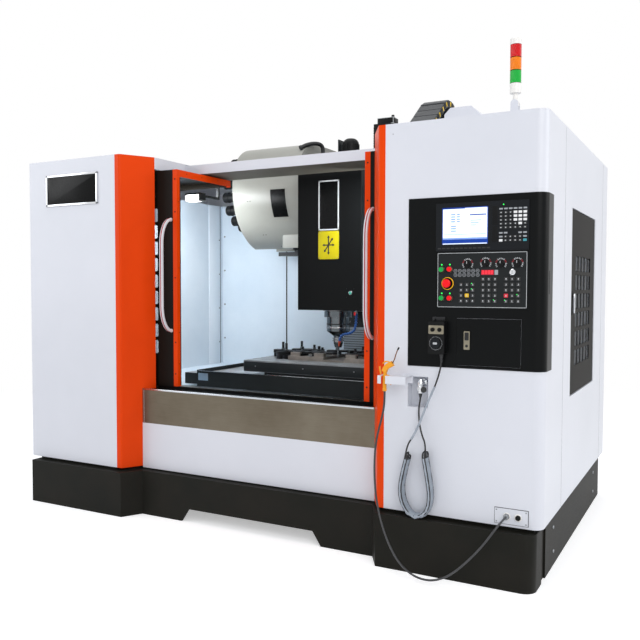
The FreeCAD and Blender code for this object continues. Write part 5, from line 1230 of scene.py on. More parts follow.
    @staticmethod
    def at(points: list[Vector], gaps: list[float], distance: float) -> tuple[Vector, Vector]:
        """The point and the direction at a distance along a line.

        Args:
            points: The line's points.
            gaps: How far along the line each point lies.
            distance: How far along the line to look.

        Returns:
            The point and the unit direction there.
        """
        for i in range(1, len(gaps)):
            if gaps[i] >= distance:
                share = (distance - gaps[i - 1]) / (gaps[i] - gaps[i - 1])
                return points[i - 1].lerp(points[i], share), (points[i] - points[i - 1]).normalized()
        return points[-1], (points[-1] - points[-2]).normalized()


@dataclass
class ToolChanger(Assembly):
    """The magazine's cover with its window, the drum of pots, and the changer arm."""

    cover_front: float = 1010
    lower_radius: float = 430
    bend_z: float = 2051
    window_x: Span = (1170, 1288)
    window_z: Span = (1846, 2030)
    cover_screws: tuple[Span, ...] = ((980, 1960), (1000, 1960), (1030, 1736),
                                      (1050, 1736), (1110, 1660), (1124, 1660))
    drum: Point = (758, 1306, 2049)
    pot_circle: float = 245
    pot_count: int = 16
    conduit: tuple[Point, ...] = (
        (1362, 1100, 2312), (1388, 1128, 2332), (1418, 1172, 2346), (1442, 1212, 2346),
        (1453, 1234, 2330), (1455, 1241, 2296), (1455, 1241, 2250))

    def build(self) -> None:
        """Dress the changer and add its window, pots' rims, screws and conduit."""
        # The cover's grey is painted shade on a white cover.
        self.dress("magazine_cover", MAGAZINE_WHITE_SHADED)
        self.dress("tool_magazine", BLACK_ABS)
        self.dress("changer_arm", BLACK_OXIDE, 1.5)
        for step in (self.window, self.pots, self.trim):
            step()

    def surface_y(self, z: float) -> float:
        """Where the cover's front lies at a height."""
        drop = max(self.bend_z - z, 0)
        return self.cover_front + self.lower_radius - math.sqrt(self.lower_radius ** 2 - drop ** 2)

    def patch(self, x: Span, z: Span, proud: float, depth: float, rows: int = 14) -> Form:
        """A curved plate that follows the cover's front.

        Args:
            x: Its ends in X.
            z: Its ends in Z.
            proud: How far it stands before the cover.
            depth: How thick it is.
            rows: Faces up its height.

        Returns:
            Its form.
        """
        form, rings = Form(), []
        for i in range(rows + 1):
            height = z[0] + (z[1] - z[0]) * i / rows
            near = self.surface_y(height) - proud
            rings.append([form.mesh.verts.new((u, v, height)) for u, v in (
                (x[0], near), (x[1], near), (x[1], near + depth), (x[0], near + depth))])
        form.skin(rings)
        return form

    def window(self) -> None:
        """The dark window in its frame, with two catches and the cover's screws."""
        (x0, x1), (z0, z1) = self.window_x, self.window_z
        self.fit("magazine_window", self.patch(self.window_x, self.window_z, 1.2, 1.6), DARK_GLASS)
        rim = Form()
        for x, z in (((x0 - 8, x0), (z0 - 8, z1 + 8)), ((x1, x1 + 8), (z0 - 8, z1 + 8)),
                     ((x0, x1), (z0 - 8, z0)), ((x0, x1), (z1, z1 + 8))):
            rim.join(self.patch(x, z, 2.4, 2.8))
        self.fit("magazine_window_frame", rim, MAGAZINE_WHITE_SHADED)
        middle = (z0 + z1) / 2
        y = self.surface_y(middle) - 1.4
        heads = Form().screws(product((x0 + 5, x1 - 5), (y,), (middle,)), FRONT, 4.2)
        heads.screws([(x, self.surface_y(z), z) for x, z in self.cover_screws], FRONT, 3.4)
        self.fit("magazine_screws", heads, BLACK_SCREW)

    def pots(self) -> None:
        """The rims, bores and lock rings of the tool pots."""
        x, y, z = self.drum
        rims, rings = Form(), Form()
        for u, v in circle(self.pot_circle, self.pot_count, 180 / self.pot_count):
            rims.turned((x + 46, y + u, z + v), LEFT, [
                (34.2, 0), (37, 2), (37, 16), (34.2, 18), (34.2, 30), (36, 32), (36, 41), (32, 45.6),
                (22, 45.8), (17, 30), (0, 30)], 32)
            rings.turned((x + 0.4, y + u, z + v), LEFT, [(27, -1), (27, 0.2), (24, 0.4), (24, -1)], 32)
        self.fit("pot_rims", rims, BLACK_ABS, "tool_drum")
        self.fit("pot_rings", rings, TOOL_STEEL, "tool_drum")

    def trim(self) -> None:
        """The black bush under the gearbox and the conduit on the cover's top."""
        bush = Form().turned((1275, 1230, 1640), DOWN, [(46, 0), (46, 8), (40, 12), (34.4, 12)])
        self.fit("arm_bush", bush, BLACK_OXIDE)
        tube = Form().sweep(self.smooth(self.conduit), circle(13.5, 24), UP)
        tube.turned((1362, 1100, 2311), (1, 0, 0.4), [(18, -8), (18, 6), (15, 9)], 28)
        self.fit("magazine_conduit", tube, BLACK_RUBBER, sharp=60)

    @staticmethod
    def smooth(points: Sequence[Point], steps: int = 6) -> list[Vector]:
        """Points on a smooth line through some points.

        Args:
            points: The points.
            steps: Points on each stretch.

        Returns:
            Points of the line.
        """
        spots = [Vector(p) for p in (points[0], *points, points[-1])]
        line = []
        for before, start, end, after in zip(spots, spots[1:], spots[2:], spots[3:]):
            for t in (k / steps for k in range(steps)):
                line.append(0.5 * ((2 * start) + (end - before) * t
                                   + (2 * before - 5 * start + 4 * end - after) * t * t
                                   + (3 * start - before - 3 * end + after) * t ** 3))
        return line + [spots[-1]]


@dataclass
class CableCarrier(Assembly):
    """The cable carrier that arches over the column: its links, core, clips and end brackets."""

    left: float = 2086
    width: float = 168
    centre_y: float = 1575
    centre_z: float = 2400
    outer: float = 230
    band: float = 52
    base: float = 2350
    lean: float = 126.87
    links: int = 10

    def stations(self, count: int) -> list[Point]:
        """Places along the carrier's middle line, from its leaning foot over the arch.

        Args:
            count: How many stretches the line is cut into.

        Returns:
            Y, Z and the angle of the outward direction at the end of each stretch.
        """
        middle, turn = self.outer - self.band / 2, math.radians(self.lean)
        touch = (self.centre_y + middle * math.cos(turn), self.centre_z + middle * math.sin(turn))
        slope = (math.sin(turn), -math.cos(turn))
        leg = (touch[1] - self.base - 18) / slope[1]
        bend = middle * turn
        whole = leg + bend + self.centre_z - self.base - 4
        places = []
        for run in (whole * i / count for i in range(count + 1)):
            if run < leg:
                back = leg - run
                places.append((touch[0] - slope[0] * back, touch[1] - slope[1] * back, self.lean))
            elif run < leg + bend:
                a = turn - (run - leg) / middle
                places.append((self.centre_y + middle * math.cos(a),
                               self.centre_z + middle * math.sin(a), math.degrees(a)))
            else:
                places.append((self.centre_y + middle, self.centre_z - (run - leg - bend), 0))
        return places

    def build(self) -> None:
        """Make the links round a dark core, with a yellow clip on both sides of each link."""
        left, right = self.left, self.left + self.width
        links, clips, ribs, feet = Form(), Form(), Form(), Form()
        places = self.stations(self.links * 2)
        half = math.dist(places[0][:2], places[1][:2]) - 2.5
        for y, z, angle in places[1::2]:
            put = placed((0, y, z), angle - 90, "X")
            links.join(Form().block((left, right), (-half, half), (-25, 22), 4), put)
            for near, far in ((right - 1, right + 3), (left - 3, left + 1)):
                clips.join(Form().block((near, far), (-7, 7), (-15, 13), 1.2), put)
                for span in ((-half + 6, -half + 16), (half - 16, half - 6)):
                    ribs.join(Form().block((near, far - 1.2), span, (-19, 16), 1), put)
        self.fit("carrier_links", links, CHAIN_NYLON, replaces=["cable_chain"])
        self.fit("carrier_clips", clips, CHAIN_YELLOW)
        self.fit("carrier_link_ribs", ribs, BLACK_ABS)
        path = [((left + right) / 2, y, z) for y, z, _ in self.stations(36)]
        inside = self.width / 2 - 5
        core = Form().sweep(path, rounded((-inside, inside), (-19, 17), 4, 3))
        self.fit("carrier_core", core, SEAL_BLACK_AND_GAP_SHADE)
        for y in (places[0][0], places[-1][0]):
            feet.block((left + 8, right - 8), (y - 22, y + 22), (self.base, self.base + 18), 2)
        self.fit("carrier_end_brackets", feet, ZINC_SCREW)


@dataclass
class ControlPanel(Assembly):
    """The wrapped black panel: display, keyboard, operator's panel, switches and hatch."""

    face: float = -3
    display_face: float = -9
    page: float = -7.5
    page_x: Span = (2750, 2965)
    page_z: Span = (1563, 1731)
    keyboard_at: Span = (3025, 1716)
    # One letter for each key's colour, from the top row down: grey, black, white and teal.
    key_rows: tuple[str, ...] = ("gggggg", "bbbwww", "bbbwww", "bbbwww", "bbbbwb", "bbbbbb", "......",
                                 "gg..gg", "gbbbbg", "wbbbbt")
    foil_x: Span = (2725, 3145)
    foil_z: Span = (1269, 1526)
    # Each block of keys: its first column's place and its number of rows.
    key_blocks: tuple[tuple[float, int], ...] = ((2842, 4), (2945, 5), (3050, 5))
    lit_keys: tuple[tuple[int, int, int], ...] = ((1, 2, 3), (2, 2, 0), (3, 2, 1), (3, 0, 0), (1, 2, 2))
    digits_z: Span = (1421, 1443)
    knobs: tuple[Span, ...] = ((2872, 1471), (2956, 1474), (3026, 1471), (3100, 1472))
    stop_at: Span = (2777, 1382)
    buttons_at: tuple[Span, ...] = ((2748, 1447), (2787, 1448), (2749, 1314),
                                    (2788, 1314))

    def build(self) -> None:
        """Dress the panel and fit everything on it."""
        self.dress("control_panel", BLACK_POWDER)
        self.dress("display_unit", DARK_BEZEL, 1.2)
        self.dress("panel_door", BLACK_POWDER)
        self.dress_all(BLACK_ABS, *("override_knob_%d" % i for i in range(1, 5)))
        self.dress("key_switch", CHROME)
        for name, finish in (("power_on", GREEN_PLASTIC), ("power_off", RED_PLASTIC),
                             ("cycle_start", GREEN_PLASTIC), ("feed_hold", RED_PLASTIC)):
            self.dress(name + "_button", finish, 1.2)
        for step in (self.screen, self.keyboard, self.foil, self.keys, self.digits,
                     self.dials, self.indicators, self.buttons, self.hatch):
            step()

    def ink(self, form: Form, depth: float, bars: Iterable[tuple[float, ...]]) -> None:
        """Lay flat bars on the screen's page.

        Args:
            form: The form that takes them.
            depth: How far they stand before the page.
            bars: Each bar's ends across and up, from the page's lower left corner.
        """
        x, z, page = self.page_x[0], self.page_z[0], self.page
        for u0, u1, v0, v1 in bars:
            form.block((x + u0, x + u1), (page - depth, page), (z + v0, z + v1))

    def screen(self) -> None:
        """The lit screen with a plain page: a header, columns of readings and soft key bars."""
        (x0, x1), (z0, z1), page, front = self.page_x, self.page_z, self.page, self.display_face
        wide, tall = x1 - x0, z1 - z0
        self.fit("screen_page", Form().block(self.page_x, (page, page + 0.6), self.page_z), SCREEN_WHITE)
        blue = Form()
        self.ink(blue, 0.15, ((2, wide - 2, 4, 22), (-0.5, 3, 0, tall), (wide - 3, wide + 0.5, 0, tall),
                              (0, wide, tall - 3.5, tall + 0.5), (2, 108, tall - 6, tall - 2),
                              (wide - 84, wide - 8, tall - 38, tall - 33)))
        self.ink(blue, 0.3, ((12 + i * 22, 28 + i * 22, 6, 10) for i in range(9)))
        self.fit("screen_bars", blue, SCREEN_BLUE)
        pale = Form()
        for row in range(4):
            z = tall - 34 - row * 11
            self.ink(pale, 0.15, ((42, 62, z, z + 5), (70, 84, z, z + 5)))
        for row in range(3):
            z = tall - 88 - row * 11
            self.ink(pale, 0.15, ((42, 66, z, z + 5), (wide - 80, wide - 30 - row * 12, z + 26, z + 29)))
        self.ink(pale, 0.15, ((2, wide - 2, 20, 29), (8, wide - 8, 44, 46)))
        self.fit("screen_readings", pale, SCREEN_PALE)
        soft, card = Form(), Form()
        for x in (x0 - 20 + i * 21 for i in range(12)):
            soft.block((x, x + 16), (front - 0.8, front), (z0 - 22, z0 - 16), 0.6)
        self.fit("soft_keys", soft, BLACK_KEY)
        for z in ((1570, 1640), (1644, 1730)):
            card.block((2985, 3010), (front - 0.7, front), z, 0.5)
        self.fit("card_doors", card, BLACK_ABS)

    def keyboard(self) -> None:
        """The keyboard beside the screen: six columns of caps, a green diode above."""
        left, z = self.keyboard_at
        front = self.display_face
        caps = {mark: (finish, Form()) for mark, finish in
                (("g", GREY_KEY_AND_GAP_SHADE), ("w", WHITE_KEY), ("b", BLACK_KEY), ("t", TEAL_KEY))}
        legends = Form()
        for row in self.key_rows:
            for column, mark in enumerate(row):
                x, half = left + column * 21.5, 3.5 if mark == "g" else 5.5
                if mark in caps:
                    caps[mark][1].block((x - 8, x + 8), (front - 1.6, front - 0.1), (z - half, z + half), 1.2)
                if mark == "b":
                    legends.block((x - 2.4, x + 2.4), (front - 1.75, front - 1.55), (z - 2.2, z + 2.2))
            z -= 7 if row == "......" else 16.8
        for finish, form in caps.values():
            self.fit("keyboard_" + finish.name, form, finish)
        self.fit("keyboard_legends", legends, PRINT_WHITE)
        diode = Form().turned((3036, front, 1735), FRONT, [(2.6, 0), (2.6, 0.8), (1.4, 1.6), (0, 1.8)], 16)
        self.fit("keyboard_diode", diode, LED_GREEN)

    def foil(self) -> None:
        """The charcoal overlay inside the bright rim of the operator's panel."""
        (x0, x1), (z0, z1), face = self.foil_x, self.foil_z, self.face
        foil = Form().plate(rounded(self.foil_x, self.foil_z, 5), (face - 0.35, face + 0.1))
        self.fit("operator_overlay", foil, PANEL_FOIL)
        rim = Form().rim((x0 + 3, x1 - 3), (face - 0.6, face - 0.3), (z0 + 3, z1 - 3), 2)
        self.fit("operator_rim", rim, PRINT_WHITE)

    def keys(self) -> None:
        """The square keys of the operator's panel with plain marks and small diodes."""
        front, face = self.face - 1, self.face - 2.75
        caps = {BLACK_KEY: Form(), YELLOW_KEY: Form(), RED_KEY: Form()}
        special = {(1, 1, 1): YELLOW_KEY, (3, 0, 1): RED_KEY}
        marks, lit = Form(), Form()
        for number, (first, rows) in enumerate(self.key_blocks, 1):
            for key in product((number,), range(3), range(rows)):
                _, column, row = key
                x, z = first + column * 27.5, 1302 + row * 25
                caps[special.get(key, BLACK_KEY)].block(
                    (x - 9.5, x + 9.5), (front - 1.6, front + 0.8), (z - 8.5, z + 8.5), 1.4)
                marks.block((x - 3.5, x + 3.5), (face, face + 0.2), (z - 4.5, z - 3))
                marks.block((x - 2.4 + row % 2, x + 2.4 - column % 2), (face, face + 0.2), (z - 1, z + 3.4))
                if key in self.lit_keys:
                    lit.turned((x - 5.5, face + 0.2, z + 5.2), FRONT, [(1.9, 0), (1.9, 0.5), (0, 0.9)], 12)
        for name, form, finish in (("keys", caps[BLACK_KEY], BLACK_KEY),
                                   ("yellow_key", caps[YELLOW_KEY], YELLOW_KEY),
                                   ("red_key", caps[RED_KEY], RED_KEY),
                                   ("key_marks", marks, PRINT_WHITE), ("diodes", lit, LED_GREEN)):
            self.fit("operator_" + name, form, finish)

    def digits(self) -> None:
        """The red window with its lit digits, and the dark spare window beside it."""
        face = self.face
        window = Form().block((2936, 2994), (face - 1.2, face - 0.2), self.digits_z, 0.5)
        self.fit("digit_window", window, RED_FILTER)
        bars, y = Form(), (face - 1.5, face - 1.2)
        for x in (2941 + i * 13.5 for i in range(4)):
            for z in (1425.5, 1431.5, 1437.5):
                bars.block((x, x + 7.5), y, (z, z + 1.8))
            for u in (x, x + 6.2):
                bars.block((u, u + 1.6), y, (1426, 1439))
        self.fit("digits", bars, LED_RED)
        spare = Form().block((2997, 3013), (face - 1, face - 0.2), self.digits_z, 0.5)
        self.fit("spare_digits", spare, GREY_KEY_AND_GAP_SHADE)

    def dials(self) -> None:
        """The scales round the override knobs and the white line on each knob."""
        rings, red, face = Form(), Form(), self.face
        for number, (x, z) in enumerate(self.knobs, 1):
            for radius, wide in ((22, 1.9), (25, 1.5)):
                for i, (u, v) in enumerate(arc((x, z), radius, -35, 215, 14)):
                    (red if i in (3, 4, 10, 11) else rings).block(
                        (u - wide, u + wide), (face - 0.6, face - 0.3), (v - wide, v + wide))
            line = Form().block((x - 1.2, x + 1.2), (face - 17.4, face - 16.9), (z + 1, z + 12.5), 0.2)
            grip = Form().block((x - 4.5, x + 4.5), (face - 16.9, face - 10), (z - 12.2, z + 12.2), 1.2)
            self.fit("knob_line_%d" % number, line, PRINT_WHITE, "override_%d" % number)
            self.fit("knob_grip_%d" % number, grip, BLACK_ABS, "override_%d" % number)
        self.fit("knob_scales", rings, PRINT_WHITE)
        self.fit("knob_scale_reds", red, PRINT_RED)

    def indicators(self) -> None:
        """The two rows of round indicators, and the key switch's bezel and bow."""
        dots, fields, face = Form(), Form(), self.face
        for x, z in product((2814 + i * 21 for i in range(6)), (1421, 1440)):
            dots.turned((x, face - 0.35, z), FRONT, [(8.4, 0), (8.4, 0.5), (7, 0.5), (7, 0.1)], 24)
            dots.block((x - 3.4, x + 3.4), (face - 1.3, face - 0.9), (z - 1.2, z + 1.2))
            fields.turned((x, face - 0.4, z), FRONT, [(6.8, 0), (6.8, 0.6), (0, 0.7)], 24)
        self.fit("indicator_row", dots, GREY_KEY_AND_GAP_SHADE)
        self.fit("indicator_fields", fields, BLACK_KEY)
        bezel = Form().turned((3078, face, 1433), FRONT, [(13.5, 0), (13.5, 2.5), (11, 4.4),
                                                          (10.15, 4.4)], 32)
        self.fit("key_switch_bezel", bezel, CHROME)
        bow = Form().turned((3078, face - 24, 1421), RIGHT, [(0.1, -0.6), (5, -0.6), (5, 0.6),
                                                             (0.1, 0.6)], 16)
        self.fit("key_bow_head", bow, CHROME, "mode_key")

    def buttons(self) -> None:
        """The bezels and diodes of the push buttons, and the emergency stop in its yellow ring."""
        (x, z), face = self.stop_at, self.face
        ring = Form().turned((x, face - 0.2, z), FRONT, [(29, 0), (29, 3), (27, 4.4), (12, 4.4)], 48)
        self.fit("stop_ring", ring, YELLOW_PLASTIC)
        cap = Form().turned((x, face - 4, z), FRONT, [
            (0, 8.2), (9, 8.2), (9, 12), (16, 12.2), (19.8, 14), (20, 19), (19, 23.5), (14, 26.4),
            (0, 27)], 48)
        self.fit("stop_cap", cap, RED_PLASTIC, "stop_button", replaces=["emergency_stop"])
        bezels, diodes = Form(), Form()
        for x, z in self.buttons_at:
            bezels.turned((x, face - 0.3, z), FRONT, [(15.6, 0), (15.6, 2.5), (14.2, 5.2), (11.3, 6.9)], 36)
            diodes.turned((x, face - 0.3, z + 22), FRONT, [(3.2, 0), (3.2, 0.8), (0, 1.6)], 16)
        self.fit("button_bezels", bezels, NICKEL_PLATE)
        self.fit("button_diodes", diodes, LED_GREEN)

    def hatch(self) -> None:
        """The hatch's silver latch with its lever, and the grip slot in the panel's side."""
        front = machine_box("panel_door")[0].y
        latch = Form().plate(rounded((2859, 2887), (1077, 1162), 3), (front - 2.4, front + 0.3), 0.9)
        self.fit("hatch_latch_plate", latch, NICKEL_PLATE, "panel_hatch")
        lever = Form().plate(rounded((2863, 2883), (1120, 1156), 3), (front - 2.8, front - 2.2), 0.3)
        lever.turned((2873, front - 2.4, 1094), FRONT, [(6.5, 0), (6.5, 1.2), (3.5, 1.2), (3.5, 0.4),
                                                           (0, 0.4)], 24)
        self.fit("hatch_latch_lever", lever, BLACK_OXIDE, "panel_hatch")
        # The grip slot is a flat dark plate: painted shade in the recess.
        slot = Form().block((3225.6, 3226.4), (60, 74), (1335, 1438), 0.3)
        self.fit("panel_side_slot", slot, SEAL_BLACK_AND_GAP_SHADE)


@dataclass
class HandUnit(Assembly):
    """The hand unit on its hooks, its cord with the wrapped hank, and the plug."""

    front: float = -45
    dial: Span = (2737, 1104)
    cord_radius: float = 4
    upper: tuple[Point, ...] = (
        (2757, -23, 1053), (2757, -23, 1006), (2748, -30, 958), (2734, -36, 910), (2716, -41, 865),
        (2697, -45, 820), (2680, -48, 775), (2664, -50, 731), (2646, -50, 690), (2623, -48, 650),
        (2598, -44, 612))
    lower: tuple[Point, ...] = (
        (2684, -32, 627), (2669, -33, 660), (2658, -31, 697), (2650, -27, 735), (2645, -19, 771),
        (2642, -5, 803), (2643, 8, 830), (2643, 8, 856))
    # The hank's middle line, in X and Z, down its left side, round its foot and up its right.
    loop: tuple[Span, ...] = (
        (2597, 548), (2587, 512), (2577, 466), (2567, 414), (2569, 370), (2582, 327), (2606, 293),
        (2640, 277), (2674, 285), (2699, 309), (2712, 344), (2715, 388), (2708, 442), (2697, 505),
        (2686, 560))
    hank_x: float = 2640
    hank_y: float = -37
    fold_depth: float = 48
    sleeve_z: Span = (640, 905)
    film_rings: int = 96
    film_round: int = 28

    def build(self) -> None:
        """Dress the unit and make its cord, hank film and plug."""
        self.dress_all(BLACK_ABS, "hand_unit", "pulse_dial", "axis_selector", "step_selector")
        for step in (self.face, self.dial_face, self.cord):
            step()

    def face(self) -> None:
        """The unit's bright switch plate and the grips of its two selectors."""
        front = self.front
        plate = Form().plate(rounded((2700, 2774), (1147, 1187), 4), (front - 1, front + 0.2), 0.4)
        self.fit("hand_unit_switch_plate", plate, NICKEL_PLATE, sharp=30)
        for name, x in (("axis", 2720), ("step", 2754)):
            grip = Form().block((x - 3.2, x + 3.2), (front - 13.5, front - 4.5), (1158.5, 1176), 1.2)
            self.fit(name + "_selector_grip", grip, BLACK_ABS, name + "_knob")

    def dial_face(self) -> None:
        """The dial's ring with its marks, its cap and blank badge, and the unit's hanger."""
        (x, z), front = self.dial, self.front
        ring = Form().turned((x, front, z), FRONT, [(34, 0), (34, 2), (32.5, 3.2), (27.2, 3.2)], 64)
        self.fit("dial_scale_ring", ring, BLACK_OXIDE)
        marks = Form()
        for i in range(50):
            a = math.radians(i * 7.2)
            middle, way = Vector((x, z)), Vector((math.cos(a), math.sin(a)))
            side = Vector((-way.y, way.x)) * 0.4
            inner, outer = way * (29 if i % 5 else 28.2), way * 31.5
            corners = (inner + side, outer + side, outer - side, inner - side)
            marks.plate([tuple(middle + corner) for corner in corners], (front - 3.5, front - 3.1))
        self.fit("dial_scale_marks", marks, PRINT_WHITE)
        cap = Form().turned((x, front - 13.8, z), FRONT, [(24, -0.5), (24, 0.6), (22.5, 1.2), (18, 1.2),
                                                         (17, 0.5), (0, 0.5)], 48)
        cap.turned((x + 15, front - 13.5, z + 11), FRONT, [(4.5, 0), (4.5, 3.5), (3.4, 4.6), (0, 4.8)], 20)
        self.fit("dial_cap", cap, DARK_BEZEL, "dial")
        badge = Form().plate(rounded((x - 10, x + 10), (z - 5, z + 5), 3), (front - 14.6, front - 14), 0.2)
        self.fit("dial_badge_blank", badge, SATIN_ALUMINIUM, "dial")
        hanger = Form().block((2706, 2768), (-9, -3), (1203, 1226), 1.5)
        for x in ((2712, 2720), (2756, 2764)):
            hanger.block(x, (-16, -3), (1206, 1218), 1.5)
        self.fit("hand_unit_hanger", hanger, BLACK_OXIDE)

    def passes(self) -> list[Point]:
        """The hank's own points: five passes round the loop, folded over at its two tops.

        Returns:
            Points in the cord's order.
        """
        near, far = self.hank_y - self.fold_depth / 2, self.hank_y + self.fold_depth / 2
        plan = ((near, -5), (far, -5), (near, 5), (far, 5), (self.hank_y, 0))
        points: list[Point] = []
        for number, (depth, shift) in enumerate(plan):
            line = self.loop if number % 2 == 0 else self.loop[::-1]
            points.extend((x + shift * self.inward(x), depth, z) for x, z in line)
            if number < len(plan) - 1:
                x, z = line[-1]
                sign = self.inward(x)
                next_depth, next_shift = plan[number + 1]
                lean = x + (shift + next_shift) / 2 * sign
                rise, step = abs(next_depth - depth) / 2, (next_depth - depth) / 2 * 0.45
                points += [(x + shift * sign, depth, z + rise * 0.75),
                           (lean, depth + step, z + rise * 1.15),
                           (lean, next_depth - step, z + rise * 1.15),
                           (x + next_shift * sign, next_depth, z + rise * 0.75)]
        return points

    def inward(self, x: float) -> int:
        """Which way in X the middle of the hank lies."""
        return 1 if x < self.hank_x else -1

    def cord(self) -> None:
        """The cord from the unit, through the hank, to the plug, with its film and boots."""
        route = [*self.upper, *self.passes(), *self.lower]
        cord = self.line("hand_cord_line", route, self.cord_radius, BLACK_RUBBER)
        line = centreline(cord)
        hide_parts("hand_cord", "cord_hank")
        boot = Form().turned((2757, -23, 1054), DOWN, [
            (10, 0), (10, 8), (8.5, 12), (8.5, 15), (7.5, 17), (7.5, 20), (6.6, 22), (6.4, 34),
            (4.1, 40)], 28)
        boot_piece = self.fit("hand_cord_boot", boot, BLACK_RUBBER)
        film = self.film()
        wrapped = [p for p in line[:len(line) // 6] if self.sleeve_z[0] < p.z < self.sleeve_z[1]]
        sleeve = self.fit("cord_film_sleeve", Form().sweep(wrapped, circle(5.6, 14)), CLEAR_FILM, sharp=60)
        plug = self.plug()

    def film(self) -> bpy.types.Object:
        """The crumpled clear film wound round both sides of the hank.

        Returns:
            The dressed piece.
        """
        form, rings = Form(), []
        for i in range(self.film_rings + 1):
            t = i / self.film_rings * (len(self.loop) - 1)
            k = min(int(t), len(self.loop) - 2)
            (x0, z0), (x1, z1) = self.loop[k], self.loop[k + 1]
            centre = Vector((x0 + (x1 - x0) * (t - k), self.hank_y, z0 + (z1 - z0) * (t - k)))
            away = Vector((z1 - z0, 0, x0 - x1)).normalized()
            ring = []
            for a in (2 * math.pi * j / self.film_round for j in range(self.film_round)):
                crease = 1 + 0.06 * math.sin(5 * a + 0.9 * i) + 0.05 * math.sin(3 * a - 1.7 * i)
                wide = (12.6 + 1.4 * math.sin(i * 0.8)) * crease
                deep = 31 * (1 + 0.03 * math.sin(4 * a + 1.3 * i)) * 0.96
                ring.append(form.mesh.verts.new(
                    centre + away * wide * math.cos(a) + Vector((0, deep * math.sin(a), 0))))
            rings.append(ring)
        form.skin(rings, closed=False)
        return self.fit("hank_film", form, CLEAR_FILM, sharp=25)

    def plug(self) -> bpy.types.Object:
        """The round plug with its knurled nut, ribs, boot and hanging dust cap.

        Returns:
            The dressed piece.
        """
        x, y, z = self.lower[-1]
        shell = Form().turned((x, y, z), UP, [
            (9, 0), (12, 3), (12, 12), (14.6, 14), (14.6, 34), (13.2, 35.5), (13.2, 40), (15, 41.5),
            (15, 60), (13.6, 62), (12, 69), (0, 69)])
        for u, v in circle(14.5, 24):
            shell.rod((x + u, y + v, 872), (x + u, y + v, 888), 0.9, 6)
        shell.turned((x, y, 905), BACK, [(12, 0), (12, 30), (16, 31), (16, 36.5), (19, 37), (19, 40)], 36)
        plug = self.fit("hand_plug", shell, CHROME, replaces=["cord_plug"])
        cap = Form().turned((x + 15, y - 2, 876), (0.55, -0.8, 0.1), [
            (0, -4), (13, -4), (14, -2), (14, 6), (12.5, 8), (0, 8)], 32)
        cap.rod((x + 14, y + 2, 884), (x + 12, y + 6, 898), 1.2, 8)
        cap.turned((x, y, z + 1), DOWN, [(9.4, -3), (9.4, 1), (7.4, 8), (5.4, 18), (4.1, 22)], 28)
        self.fit("hand_plug_cap", cap, BLACK_RUBBER)
        return plug


